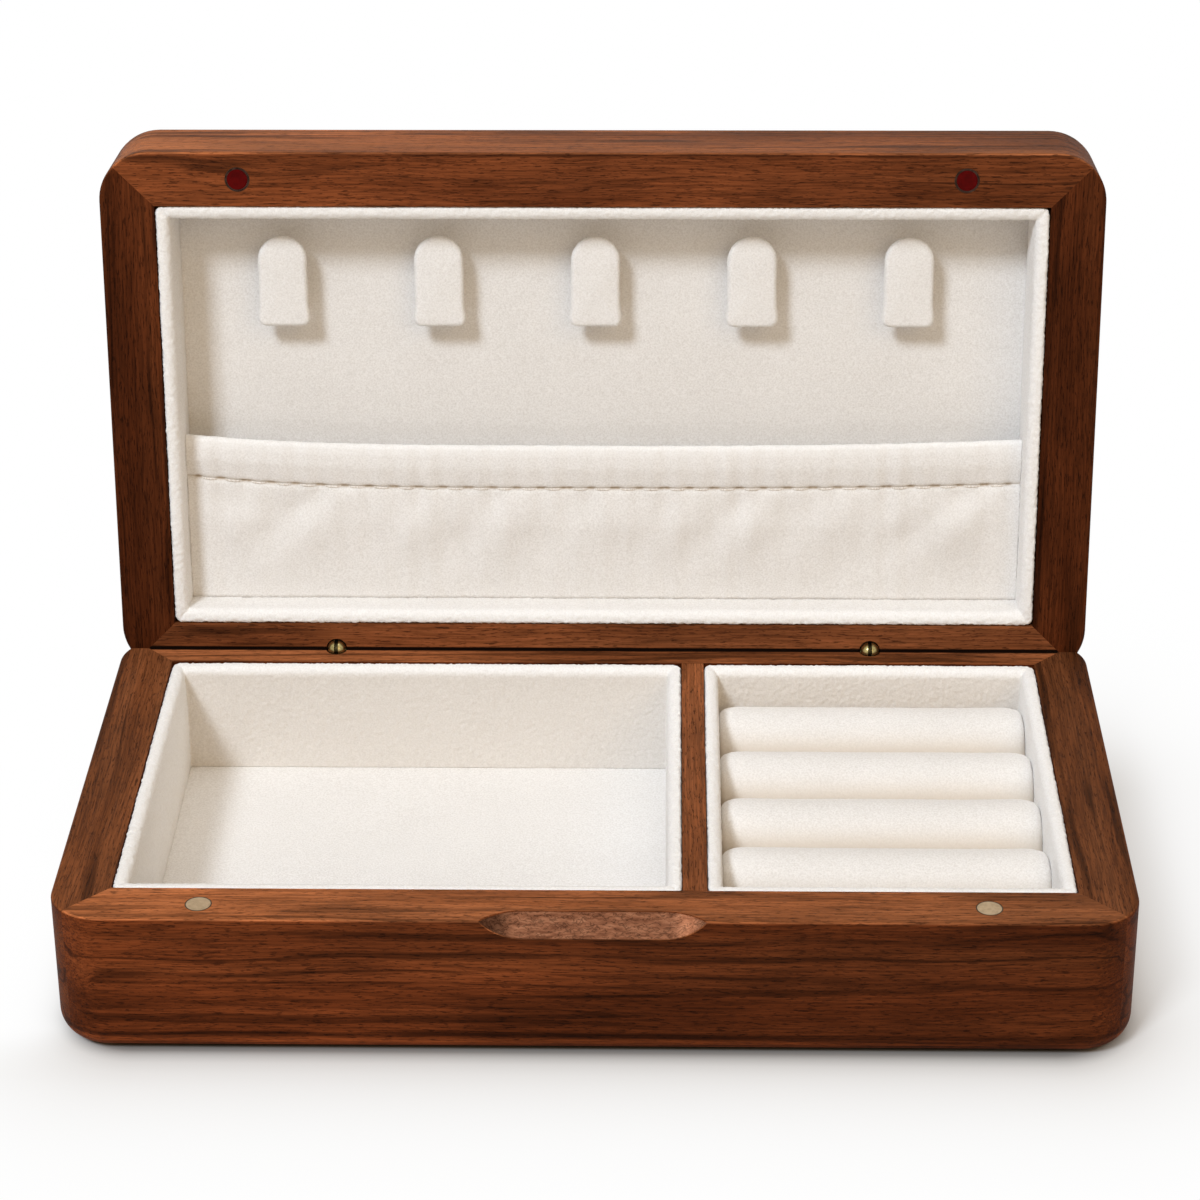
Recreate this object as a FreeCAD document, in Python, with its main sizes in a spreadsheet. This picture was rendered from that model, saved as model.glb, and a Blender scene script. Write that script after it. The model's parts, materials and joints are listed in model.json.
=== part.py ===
"""Walnut jewelry box with a velvet lining, a hinged lid, ring rolls, necklace hooks and a lid pocket.

Units are millimetres. X runs along the width, +Y to the back and +Z up. The origin is the middle of the
underside. The lid is drawn about its hinge line, as if closed, and then turned open about that line.
"""
import FreeCAD, Part
import math
import os
import Sketcher

# Driving dimensions: one row of the sheet each, with its alias and its size.
SIZES = [
    # Wooden frame
    ("box_width", "220"),
    ("box_depth", "122"),
    ("base_height", "32.5"),
    ("lid_height", "26"),
    ("parting_gap", "0.4"),
    ("rail_width", "12"),
    ("corner_radius", "11"),
    ("base_round", "6"),
    ("lid_round", "5"),
    ("edge_ease", "0.7"),
    ("rabbet_width", "4"),
    ("bottom_thickness", "4"),
    ("lid_panel_thickness", "7"),
    ("panel_clearance", "0.1"),
    ("cut_overrun", "2"),
    # Hinge line and opening
    ("hinge_setback", "6"),
    ("hinge_end_inset", "49"),
    ("lid_open_angle", "96"),
    ("bevel_spare_angle", "1"),
    # Finger notch in the front edge
    ("notch_reach", "4.2"),
    ("notch_axis_out", "2"),
    ("notch_flat", "28"),
    ("notch_end_radius", "13"),
    # Divider and lining boards
    ("divider_x", "20.5"),
    ("divider_thickness", "5"),
    ("liner_wall", "3"),
    ("liner_clearance", "0.15"),
    ("liner_rim_drop", "0.4"),
    ("liner_rim_round", "1.4"),
    ("floor_pad_thickness", "2.6"),
    ("lid_liner_thickness", "2.5"),
    # Ring rolls
    ("roll_gap", "0.2"),
    ("roll_back_gap", "0.8"),
    ("roll_front_gap", "9.1"),
    ("roll_end_gap", "1"),
    ("roll_end_round", "4"),
    ("roll_height", "21.2"),
    # Necklace hooks
    ("hook_end_inset", "28.2"),
    ("hook_row_shift", "-1.6"),
    ("hook_width", "11"),
    ("hook_length", "20.7"),
    ("hook_top_inset", "9.4"),
    ("hook_front_depth", "8.9"),
    ("hook_thickness", "2.4"),
    ("hook_corner", "1.6"),
    ("hook_edge_round", "0.9"),
    ("stem_width", "7"),
    ("stem_length", "8"),
    ("stem_lift", "1.5"),
    # Lid pocket
    ("pocket_height", "39"),
    ("pocket_hem", "10"),
    ("pocket_side_gap", "0.2"),
    ("pocket_foot_depth", "8.7"),
    ("pocket_belly_depth", "7.6"),
    ("pocket_seam_depth", "8.4"),
    ("pocket_hem_depth", "7.5"),
    ("pocket_cloth", "1.2"),
    ("pocket_hem_cloth", "2.4"),
    ("pocket_fold_swell", "0.55"),
    ("pocket_fold_lean", "4"),
    # Magnets
    ("magnet_end_inset", "30.5"),
    ("magnet_diameter", "5.4"),
    ("magnet_thickness", "3"),
    ("magnet_clearance", "0.05"),
    ("cup_wall", "0.4"),
    ("cup_floor", "0.5"),
    # Barrel hinges
    ("barrel_diameter", "4.2"),
    ("barrel_length", "10"),
    ("barrel_clearance", "0.05"),
    ("barrel_relief", "0.25"),
    ("barrel_shoulder", "2.9"),
    ("dome_height", "2.05"),
    ("dome_round", "2"),
    ("slot_width", "0.9"),
    ("slot_depth", "2.8"),
    ("tongue_thickness", "0.7"),
    ("tongue_radius", "1.5"),
    ("pin_diameter", "1"),
    ("pin_length", "3.6"),
    ("pin_press_clearance", "0.01"),
    ("pin_running_clearance", "0.05"),
    # Mother-of-pearl line in the lid's outer face
    ("pearl_inset", "8"),
    ("pearl_width", "3"),
    ("pearl_depth", "1.2"),
    ("pearl_clearance", "0.05"),
]

ROLL_COUNT = 4
HOOK_COUNT = 5
POCKET_FOLDS = 9
SAME_PLACE = 1e-4
SIDES = ("front", "back", "left", "right")
HANDS = {"left": "-", "right": ""}

doc = FreeCAD.newDocument("jewelry_box")
dims = doc.addObject("Spreadsheet::Sheet", "dims")
for row, (alias, size) in enumerate(SIZES, start=1):
    dims.set(f"A{row}", alias)
    dims.set(f"B{row}", size)
    dims.setAlias(f"B{row}", alias)
doc.recompute()

# Places that several pieces share, as expressions of the driving dimensions.
HALF_WIDTH = "(dims.box_width / 2)"
HALF_DEPTH = "(dims.box_depth / 2)"
OPEN_X = "(dims.box_width / 2 - dims.rail_width)"
OPEN_Y = "(dims.box_depth / 2 - dims.rail_width)"
PIVOT_Y = "(dims.box_depth / 2 - dims.hinge_setback)"
PIVOT_Z = "(dims.base_height + dims.parting_gap / 2)"
HINGE_X = f"({HALF_WIDTH} - dims.hinge_end_inset)"
BEVEL_SLOPE = "tan(dims.lid_open_angle / 2 + dims.bevel_spare_angle)"
FLOOR_TOP = "(dims.bottom_thickness + dims.floor_pad_thickness)"
BARREL_RADIUS = "(dims.barrel_diameter / 2)"
PANEL_X = f"({OPEN_X} + dims.rabbet_width)"
PANEL_Y = f"({OPEN_Y} + dims.rabbet_width)"
MAGNET_X = f"({HALF_WIDTH} - dims.magnet_end_inset)"
MAGNET_Y = f"(dims.rail_width / 2 - {HALF_DEPTH})"
MAGNET_RADIUS = "(dims.magnet_diameter / 2)"

# The same on the lid, measured from the hinge line with the lid closed.
LID_FRONT = "(dims.hinge_setback - dims.box_depth)"
LID_OPEN_FRONT = f"({LID_FRONT} + dims.rail_width)"
LID_OPEN_BACK = "(dims.hinge_setback - dims.rail_width)"
LID_MAGNET_Y = f"({LID_FRONT} + dims.rail_width / 2)"
LID_FACE = "(dims.parting_gap / 2)"
LID_TOP = f"({LID_FACE} + dims.lid_height)"
LID_PANEL_FACE = f"({LID_TOP} - dims.lid_panel_thickness - dims.lid_liner_thickness)"

pieces = []


def value(expression):
    """Size of an expression, as a plain number."""
    return float(dims.evalExpression(expression))


def keep(piece, label, on_lid=False):
    """Name a finished piece and, on the lid, turn it open about the hinge line."""
    piece.Label = label
    if on_lid:
        piece.Placement = FreeCAD.Placement(FreeCAD.Vector(), FreeCAD.Rotation(FreeCAD.Vector(1, 0, 0), -1))
        piece.setExpression("Placement.Base.y", PIVOT_Y)
        piece.setExpression("Placement.Base.z", PIVOT_Z)
        piece.setExpression("Placement.Rotation.Angle", "-dims.lid_open_angle")
    pieces.append(piece)
    return piece


def new_body(name):
    """Empty body for one piece."""
    return doc.addObject("PartDesign::Body", name)


def new_sketch(body, plane, offset):
    """Sketch on one of the body's own origin planes, moved off it along the plane's axes."""
    sketch = body.newObject("Sketcher::SketchObject", body.Name + "_sketch")
    support = [feature for feature in body.Origin.OriginFeatures if feature.Role == plane][0]
    sketch.AttachmentSupport = [(support, "")]
    sketch.MapMode = "FlatFace"
    for axis, expression in zip("xyz", offset):
        sketch.setExpression(f"AttachmentOffset.Base.{axis}", expression)
    return sketch


def plan_sketch(body, height="0"):
    """Level sketch at a height."""
    return new_sketch(body, "XY_Plane", ("0", "0", height))


def side_sketch(body, x="0"):
    """Upright sketch across the width, whose axes are Y and Z."""
    return new_sketch(body, "YZ_Plane", ("0", "0", x))


def dimension(sketch, kind, geometry, point, expression):
    """Bind the place of one point, or a radius, to an expression."""
    size = value(expression)
    if kind == "Radius":
        constraint = Sketcher.Constraint(kind, geometry, size)
    else:
        constraint = Sketcher.Constraint(kind, -1, 1, geometry, point, size)
    index = sketch.addConstraint(constraint)
    sketch.setExpression(f"Constraints[{index}]", expression)


def locate(sketch, geometry, point, place):
    """Bind both coordinates of one point."""
    dimension(sketch, "DistanceX", geometry, point, place[0])
    dimension(sketch, "DistanceY", geometry, point, place[1])


def vector(place):
    """Point of a sketch from a pair of expressions."""
    return FreeCAD.Vector(value(place[0]), value(place[1]), 0)


def polygon(sketch, corners):
    """Closed outline of straight lines through corners given as pairs of expressions."""
    first = sketch.GeometryCount
    count = len(corners)
    for index in range(count):
        start = vector(corners[index])
        end = vector(corners[(index + 1) % count])
        sketch.addGeometry(Part.LineSegment(start, end), False)
    for index in range(count):
        following = first + (index + 1) % count
        sketch.addConstraint(Sketcher.Constraint("Coincident", first + index, 2, following, 1))
    for index, corner in enumerate(corners):
        locate(sketch, first + index, 1, corner)


def rectangle(sketch, x_low, x_high, y_low, y_high):
    """Closed upright rectangle between two pairs of limits."""
    polygon(sketch, [(x_low, y_low), (x_high, y_low), (x_high, y_high), (x_low, y_high)])


def circle(sketch, centre, radius):
    """Circle about a pair of expressions."""
    upright = FreeCAD.Vector(0, 0, 1)
    geometry = sketch.addGeometry(Part.Circle(vector(centre), upright, value(radius)), False)
    locate(sketch, geometry, 3, centre)
    dimension(sketch, "Radius", geometry, 0, radius)


def arch(sketch, x_low, x_high, y_base, y_spring, crown_up):
    """Straight-sided outline with a half-round end: a base line, two sides and the crown."""
    low_spring = vector((x_low, y_spring))
    high_spring = vector((x_high, y_spring))
    low_base = vector((x_low, y_base))
    high_base = vector((x_high, y_base))
    middle = (low_spring + high_spring) * 0.5
    crown = Part.Circle(middle, FreeCAD.Vector(0, 0, 1), (high_spring - low_spring).Length / 2)
    first_angle, last_angle = (0, math.pi) if crown_up else (math.pi, 2 * math.pi)
    start_side, end_side = (2, 0) if crown_up else (0, 2)
    sketch.addGeometry(Part.LineSegment(low_spring, low_base), False)
    sketch.addGeometry(Part.LineSegment(low_base, high_base), False)
    sketch.addGeometry(Part.LineSegment(high_base, high_spring), False)
    sketch.addGeometry(Part.ArcOfCircle(crown, first_angle, last_angle), False)
    spring_point = {0: 1, 2: 2}
    sketch.addConstraint(Sketcher.Constraint("Coincident", 0, 2, 1, 1))
    sketch.addConstraint(Sketcher.Constraint("Coincident", 1, 2, 2, 1))
    sketch.addConstraint(Sketcher.Constraint("Tangent", 3, 1, start_side, spring_point[start_side]))
    sketch.addConstraint(Sketcher.Constraint("Coincident", 3, 2, end_side, spring_point[end_side]))
    locate(sketch, 0, 1, (x_low, y_spring))
    locate(sketch, 1, 1, (x_low, y_base))
    locate(sketch, 2, 1, (x_high, y_base))
    locate(sketch, 2, 2, (x_high, y_spring))


def pad(body, sketch, length, symmetric=False):
    """Add material along the sketch's normal."""
    feature = body.newObject("PartDesign::Pad", body.Name + "_pad")
    feature.Profile = sketch
    feature.SideType = "Symmetric" if symmetric else "One side"
    feature.setExpression("Length", length)
    body.Tip = feature
    doc.recompute()
    return feature


def cut_away(body, feature):
    """Make a cutting feature the body's last one, and stop if it takes nothing away."""
    before = feature.BaseFeature.Shape.Volume
    body.Tip = feature
    doc.recompute()
    if feature.Shape.Volume >= before:
        raise RuntimeError(feature.Name + " cuts nothing")
    return feature


def pocket(body, sketch, length, upward=False, symmetric=False):
    """Cut against the sketch's normal, along it, or to both sides."""
    feature = body.newObject("PartDesign::Pocket", body.Name + "_pocket")
    feature.Profile = sketch
    feature.SideType = "Symmetric" if symmetric else "One side"
    feature.Reversed = upward
    feature.setExpression("Length", length)
    return cut_away(body, feature)


def fillet(body, radius, chosen):
    """Round the edges of the body's last feature that a test chooses."""
    base = body.Tip
    names = [f"Edge{index}" for index, edge in enumerate(base.Shape.Edges, start=1) if chosen(edge)]
    feature = body.newObject("PartDesign::Fillet", body.Name + "_fillet")
    feature.Base = (base, names)
    feature.setExpression("Radius", radius)
    body.Tip = feature
    doc.recompute()
    return feature


def near(first, second):
    """Whether two places are the same."""
    return abs(first - second) < SAME_PLACE


def is_level(edge, height):
    """Whether an edge lies at one height."""
    return near(edge.BoundBox.ZMin, height) and near(edge.BoundBox.ZMax, height)


def is_upright(edge):
    """Whether an edge stands straight up."""
    return edge.BoundBox.XLength < SAME_PLACE and edge.BoundBox.YLength < SAME_PLACE


def mitre_outline(side, x_low, x_high, y_low, y_high, width):
    """Outline of one board of a rectangular frame whose corners are cut at 45 degrees."""
    inner_low = (f"{x_low} + {width}", f"{y_low} + {width}")
    inner_high = (f"{x_high} - {width}", f"{y_high} - {width}")
    outlines = {
        "front": [(x_low, y_low), (x_high, y_low), (inner_high[0], inner_low[1]), inner_low],
        "back": [(inner_low[0], inner_high[1]), inner_high, (x_high, y_high), (x_low, y_high)],
        "left": [(x_low, y_low), inner_low, (inner_low[0], inner_high[1]), (x_low, y_high)],
        "right": [(inner_high[0], inner_low[1]), (x_high, y_low), (x_high, y_high), inner_high],
    }
    return outlines[side]


def frame_blank(name, y_low, y_high, floor, height, round_bottom, round_top):
    """Whole frame before it is parted at the mitres, with its rounded outer edges."""
    body = new_body(name)
    outline = plan_sketch(body, floor)
    rectangle(outline, f"-{HALF_WIDTH}", HALF_WIDTH, y_low, y_high)
    rectangle(outline, f"-{OPEN_X}", OPEN_X, f"{y_low} + dims.rail_width", f"{y_high} - dims.rail_width")
    pad(body, outline, height)
    outer_x = value(HALF_WIDTH)
    fillet(body, "dims.corner_radius",
           lambda edge: is_upright(edge) and near(abs(edge.BoundBox.XMin), outer_x))
    middle_y = value(f"({y_low} + {y_high}) / 2")
    inside_x = value(f"{OPEN_X} + dims.edge_ease")
    inside_y = value(f"{OPEN_Y} + dims.edge_ease")
    levels = ((value(floor), round_bottom), (value(f"{floor} + {height}"), round_top))
    for level, radius in levels:
        fillet(body, radius, lambda edge: is_level(edge, level) and (
            abs(edge.CenterOfMass.x) > inside_x or abs(edge.CenterOfMass.y - middle_y) > inside_y))
    return body


def bore_pair(body, x, y, height, radius, depth, upward):
    """Two round holes, one each side of the middle."""
    sketch = plan_sketch(body, height)
    for sign in HANDS.values():
        circle(sketch, (f"{sign}{x}", y), radius)
    pocket(body, sketch, depth, upward)


def bevel_back(body, pivot_y, pivot_z, slope_sign):
    """Cut back the edge behind the hinge line, so that the lid can lean on it."""
    far_y = f"{pivot_y} + dims.hinge_setback + dims.cut_overrun"
    drop = f"(dims.hinge_setback + dims.cut_overrun) * {BEVEL_SLOPE}"
    sketch = side_sketch(body)
    polygon(sketch, [(pivot_y, pivot_z), (far_y, pivot_z), (far_y, f"{pivot_z} {slope_sign} {drop}")])
    pocket(body, sketch, "dims.box_width + 2 * dims.cut_overrun", symmetric=True)


def part_at_mitres(blank, prefix, y_low, y_high, floor, height, on_lid):
    """Saw a frame blank into its four rails."""
    for side in SIDES:
        wedge = new_body(f"{prefix}_{side}_wedge")
        sketch = plan_sketch(wedge, f"{floor} - dims.cut_overrun")
        reach = "(dims.rail_width + dims.cut_overrun)"
        polygon(sketch, mitre_outline(side, f"-{HALF_WIDTH}", HALF_WIDTH, y_low, y_high, reach))
        pad(wedge, sketch, f"{height} + 2 * dims.cut_overrun")
        rail = doc.addObject("Part::Common", f"{prefix}_{side}_rail")
        rail.Base = blank
        rail.Tool = wedge
        keep(rail, f"{prefix}_{side}_rail", on_lid)


def slab(label, x_low, x_high, y_low, y_high, floor, thickness, on_lid=False):
    """Plain rectangular board."""
    body = new_body(label)
    sketch = plan_sketch(body, floor)
    rectangle(sketch, x_low, x_high, y_low, y_high)
    pad(body, sketch, thickness)
    return keep(body, label, on_lid)


def liner_boards(prefix, x_low, x_high, y_low, y_high, z_low, z_high, rim, on_lid=False):
    """Four wrapped boards that line a compartment, mitred, with a rolled rim."""
    for side in SIDES:
        label = f"{prefix}_liner_{side}"
        body = new_body(label)
        sketch = plan_sketch(body, z_low)
        polygon(sketch, mitre_outline(side, x_low, x_high, y_low, y_high, "dims.liner_wall"))
        pad(body, sketch, f"{z_high} - {z_low}")
        rim_level = value(rim)
        across = "XLength" if side in ("left", "right") else "YLength"
        fillet(body, "dims.liner_rim_round",
               lambda edge: is_level(edge, rim_level) and getattr(edge.BoundBox, across) < SAME_PLACE)
        keep(body, label, on_lid)


def make_base_frame():
    """Base rails with the finger notch, magnet pockets, barrel holes and bevelled back."""
    y_low, y_high = f"-{HALF_DEPTH}", HALF_DEPTH
    blank = frame_blank("base_frame", y_low, y_high, "0", "dims.base_height",
                        "dims.base_round", "dims.edge_ease")
    rabbet = plan_sketch(blank)
    rectangle(rabbet, f"-{PANEL_X}", PANEL_X, f"-{PANEL_Y}", PANEL_Y)
    pocket(blank, rabbet, "dims.bottom_thickness", upward=True)
    cut_finger_notch(blank)
    bore_pair(blank, MAGNET_X, MAGNET_Y, "dims.base_height",
              f"{MAGNET_RADIUS} + dims.magnet_clearance", "dims.magnet_thickness", upward=False)
    bore_pair(blank, HINGE_X, PIVOT_Y, "dims.base_height", f"{BARREL_RADIUS} + dims.barrel_clearance",
              "dims.barrel_length - dims.parting_gap / 2", upward=False)
    bore_pair(blank, HINGE_X, PIVOT_Y, "dims.base_height", f"{BARREL_RADIUS} + dims.barrel_relief",
              "dims.barrel_shoulder", upward=False)
    bevel_back(blank, PIVOT_Y, PIVOT_Z, "-")
    part_at_mitres(blank, "base", y_low, y_high, "0", "dims.base_height", on_lid=False)
    slab("base_bottom_panel", f"-{PANEL_X} + dims.panel_clearance", f"{PANEL_X} - dims.panel_clearance",
         f"-{PANEL_Y} + dims.panel_clearance", f"{PANEL_Y} - dims.panel_clearance",
         "0", "dims.bottom_thickness")


def cut_finger_notch(blank):
    """Scoop the front top edge with a round cutter whose ends run out in arcs."""
    radius = "sqrt((dims.notch_reach + dims.notch_axis_out)^2 + dims.notch_axis_out^2)"
    axis_height = "dims.base_height + dims.notch_axis_out"
    axis_forward = f"{HALF_DEPTH} + dims.notch_axis_out"
    sketch = new_sketch(blank, "XZ_Plane", ("0", axis_height, axis_forward))
    flat = value("dims.notch_flat / 2")
    deep = value(radius)
    end_radius = value("dims.notch_end_radius")
    rise = end_radius - deep
    run_out = math.sqrt(end_radius ** 2 - rise ** 2)
    end_angle = math.atan2(rise, run_out)
    lowest = 1.5 * math.pi
    upright = FreeCAD.Vector(0, 0, 1)
    left_tip = FreeCAD.Vector(-flat - run_out, 0, 0)
    right_tip = FreeCAD.Vector(flat + run_out, 0, 0)
    left_end = Part.Circle(FreeCAD.Vector(-flat, rise, 0), upright, end_radius)
    right_end = Part.Circle(FreeCAD.Vector(flat, rise, 0), upright, end_radius)
    sketch.addGeometry(Part.LineSegment(right_tip, left_tip), False)
    sketch.addGeometry(Part.ArcOfCircle(left_end, math.pi + end_angle, lowest), False)
    left_bed = FreeCAD.Vector(-flat, -deep, 0)
    right_bed = FreeCAD.Vector(flat, -deep, 0)
    sketch.addGeometry(Part.LineSegment(left_bed, right_bed), False)
    sketch.addGeometry(Part.ArcOfCircle(right_end, lowest, 2 * math.pi - end_angle), False)
    sketch.addConstraint(Sketcher.Constraint("Coincident", 0, 2, 1, 1))
    sketch.addConstraint(Sketcher.Constraint("Tangent", 1, 2, 2, 1))
    sketch.addConstraint(Sketcher.Constraint("Tangent", 2, 2, 3, 1))
    sketch.addConstraint(Sketcher.Constraint("Coincident", 3, 2, 0, 1))
    sketch.addConstraint(Sketcher.Constraint("PointOnObject", 0, 1, -1))
    sketch.addConstraint(Sketcher.Constraint("PointOnObject", 0, 2, -1))
    sketch.addConstraint(Sketcher.Constraint("Equal", 1, 3))
    locate(sketch, 2, 1, ("-dims.notch_flat / 2", f"-{radius}"))
    locate(sketch, 2, 2, ("dims.notch_flat / 2", f"-{radius}"))
    dimension(sketch, "Radius", 1, 0, "dims.notch_end_radius")
    doc.recompute()
    groove = blank.newObject("PartDesign::Groove", "finger_notch")
    groove.Profile = sketch
    groove.ReferenceAxis = (sketch, ["H_Axis"])
    groove.Angle = 360
    cut_away(blank, groove)


def make_base_inside():
    """Divider, linings, ring rolls and magnets of the base."""
    half_divider = "dims.divider_thickness / 2"
    slab("divider", f"dims.divider_x - {half_divider}", f"dims.divider_x + {half_divider}",
         f"-{OPEN_Y} + dims.panel_clearance", f"{OPEN_Y} - dims.panel_clearance",
         "dims.bottom_thickness", "dims.base_height - dims.bottom_thickness")
    clear = "dims.liner_clearance"
    y_low = f"-{OPEN_Y} + {clear}"
    y_high = f"{OPEN_Y} - {clear}"
    bays = {
        "left": (f"-{OPEN_X} + {clear}", f"dims.divider_x - {half_divider} - {clear}"),
        "right": (f"dims.divider_x + {half_divider} + {clear}", f"{OPEN_X} - {clear}"),
    }
    rim = "(dims.base_height - dims.liner_rim_drop)"
    for bay, (x_low, x_high) in bays.items():
        slab(f"{bay}_floor_pad", x_low, x_high, y_low, y_high,
             "dims.bottom_thickness", "dims.floor_pad_thickness")
        liner_boards(bay, x_low, x_high, y_low, y_high, FLOOR_TOP, rim, rim)
    make_ring_rolls(*bays["right"], y_low, y_high)
    for hand, sign in HANDS.items():
        body = new_body(f"base_magnet_{hand}")
        sketch = plan_sketch(body, "dims.base_height - dims.magnet_thickness")
        circle(sketch, (f"{sign}{MAGNET_X}", MAGNET_Y), MAGNET_RADIUS)
        pad(body, sketch, "dims.magnet_thickness")
        keep(body, f"base_magnet_{hand}")


def make_ring_rolls(x_low, x_high, y_low, y_high):
    """Bolsters with a round crown that fill the ring compartment, laid across it from the back forward."""
    bay = f"(({y_high}) - ({y_low}) - 2 * dims.liner_wall)"
    gaps = f"(dims.roll_back_gap + dims.roll_front_gap + {ROLL_COUNT - 1} * dims.roll_gap)"
    width = f"(({bay} - {gaps}) / {ROLL_COUNT})"
    spring = f"{FLOOR_TOP} + dims.roll_height - {width} / 2"
    bay_back = f"{y_high} - dims.liner_wall - dims.roll_back_gap"
    start_x = f"{x_low} + dims.liner_wall + dims.roll_end_gap"
    length = f"({x_high}) - ({x_low}) - 2 * (dims.liner_wall + dims.roll_end_gap)"
    for index in range(ROLL_COUNT):
        label = f"ring_roll_{index + 1}"
        body = new_body(label)
        roll_back = f"({bay_back} - {index} * ({width} + dims.roll_gap))"
        sketch = side_sketch(body, start_x)
        arch(sketch, f"{roll_back} - {width}", roll_back, FLOOR_TOP, spring, crown_up=True)
        pad(body, sketch, length)
        fillet(body, "dims.roll_end_round",
               lambda edge: edge.BoundBox.XLength < SAME_PLACE and edge.BoundBox.ZLength > SAME_PLACE)
        keep(body, label)


def make_lid_frame():
    """Lid rails with their cup pockets, barrel holes and bevelled back, and the outer panel."""
    y_low, y_high = LID_FRONT, "dims.hinge_setback"
    blank = frame_blank("lid_frame", y_low, y_high, LID_FACE, "dims.lid_height",
                        "dims.edge_ease", "dims.lid_round")
    panel_y_low = f"{LID_OPEN_FRONT} - dims.rabbet_width"
    panel_y_high = f"{LID_OPEN_BACK} + dims.rabbet_width"
    rabbet = plan_sketch(blank, LID_TOP)
    rectangle(rabbet, f"-{PANEL_X}", PANEL_X, panel_y_low, panel_y_high)
    pocket(blank, rabbet, "dims.lid_panel_thickness")
    bore_pair(blank, MAGNET_X, LID_MAGNET_Y, LID_FACE,
              f"{MAGNET_RADIUS} + dims.magnet_clearance", "dims.magnet_thickness", upward=True)
    bore_pair(blank, HINGE_X, "0", LID_FACE, f"{BARREL_RADIUS} + dims.barrel_clearance",
              f"dims.barrel_length - {LID_FACE}", upward=True)
    bore_pair(blank, HINGE_X, "0", LID_FACE, f"{BARREL_RADIUS} + dims.barrel_relief",
              "dims.barrel_shoulder", upward=True)
    bevel_back(blank, "0", "0", "+")
    part_at_mitres(blank, "lid", y_low, y_high, LID_FACE, "dims.lid_height", on_lid=True)
    make_lid_panel(panel_y_low, panel_y_high)


def make_lid_panel(y_low, y_high):
    """Outer panel of the lid, with the mother-of-pearl line let into it."""
    clear = "dims.panel_clearance"
    panel = slab("lid_top_panel", f"-{PANEL_X} + {clear}", f"{PANEL_X} - {clear}", f"{y_low} + {clear}",
                 f"{y_high} - {clear}", f"{LID_TOP} - dims.lid_panel_thickness", "dims.lid_panel_thickness",
                 on_lid=True)
    channel = plan_sketch(panel, LID_TOP)
    pearl_outline(channel, y_low, y_high, "dims.pearl_clearance")
    pocket(panel, channel, "dims.pearl_depth")
    line = new_body("lid_pearl_border")
    strip = plan_sketch(line, f"{LID_TOP} - dims.pearl_depth")
    pearl_outline(strip, y_low, y_high, "0")
    pad(line, strip, "dims.pearl_depth")
    keep(line, "lid_pearl_border", on_lid=True)


def pearl_outline(sketch, y_low, y_high, clearance):
    """Outer and inner edge of the mother-of-pearl line, each widened by a clearance."""
    outer = f"(dims.pearl_inset - {clearance})"
    inner = f"(dims.pearl_inset + dims.pearl_width + {clearance})"
    for inset in (outer, inner):
        rectangle(sketch, f"-{PANEL_X} + {inset}", f"{PANEL_X} - {inset}",
                  f"{y_low} + {inset}", f"{y_high} - {inset}")


def make_lid_inside():
    """Lining, necklace hooks, pocket and magnets of the lid."""
    x_low = f"-{OPEN_X} + dims.liner_clearance"
    x_high = f"{OPEN_X} - dims.liner_clearance"
    y_low = f"{LID_OPEN_FRONT} + dims.liner_clearance"
    y_high = f"{LID_OPEN_BACK} - dims.liner_clearance"
    rim = f"({LID_FACE} + dims.liner_rim_drop)"
    slab("lid_liner_panel", x_low, x_high, y_low, y_high, LID_PANEL_FACE, "dims.lid_liner_thickness",
         on_lid=True)
    liner_boards("lid", x_low, x_high, y_low, y_high, rim, LID_PANEL_FACE, rim, on_lid=True)
    for index in range(HOOK_COUNT):
        make_hook(index)
    make_pocket()
    for hand, sign in HANDS.items():
        make_lid_magnet(hand, (f"{sign}{MAGNET_X}", LID_MAGNET_Y))


def make_hook(index):
    """Tab with a round top that stands off the lid's lining on a stem."""
    label = f"necklace_hook_{index + 1}"
    body = new_body(label)
    share = 2 * index / (HOOK_COUNT - 1) - 1
    centre_x = f"dims.hook_row_shift + {share} * ({OPEN_X} - dims.hook_end_inset)"
    x_low = f"{centre_x} - dims.hook_width / 2"
    x_high = f"{centre_x} + dims.hook_width / 2"
    top_y = f"{LID_OPEN_FRONT} + dims.hook_top_inset"
    base_y = f"{top_y} + dims.hook_length"
    front = f"({LID_FACE} + dims.hook_front_depth)"
    plate = plan_sketch(body, front)
    arch(plate, x_low, x_high, base_y, f"{top_y} + dims.hook_width / 2", crown_up=False)
    pad(body, plate, "dims.hook_thickness")
    base_level = value(base_y)
    fillet(body, "dims.hook_corner", lambda edge: is_upright(edge) and near(edge.BoundBox.YMin, base_level))
    front_level = value(front)
    fillet(body, "dims.hook_edge_round", lambda edge: is_level(edge, front_level))
    stem = plan_sketch(body, f"{front} + dims.hook_thickness")
    rectangle(stem, f"{centre_x} - dims.stem_width / 2", f"{centre_x} + dims.stem_width / 2",
              f"{base_y} - dims.stem_lift - dims.stem_length", f"{base_y} - dims.stem_lift")
    pad(body, stem, f"{LID_PANEL_FACE} - {front} - dims.hook_thickness")
    keep(body, label, on_lid=True)


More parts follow.
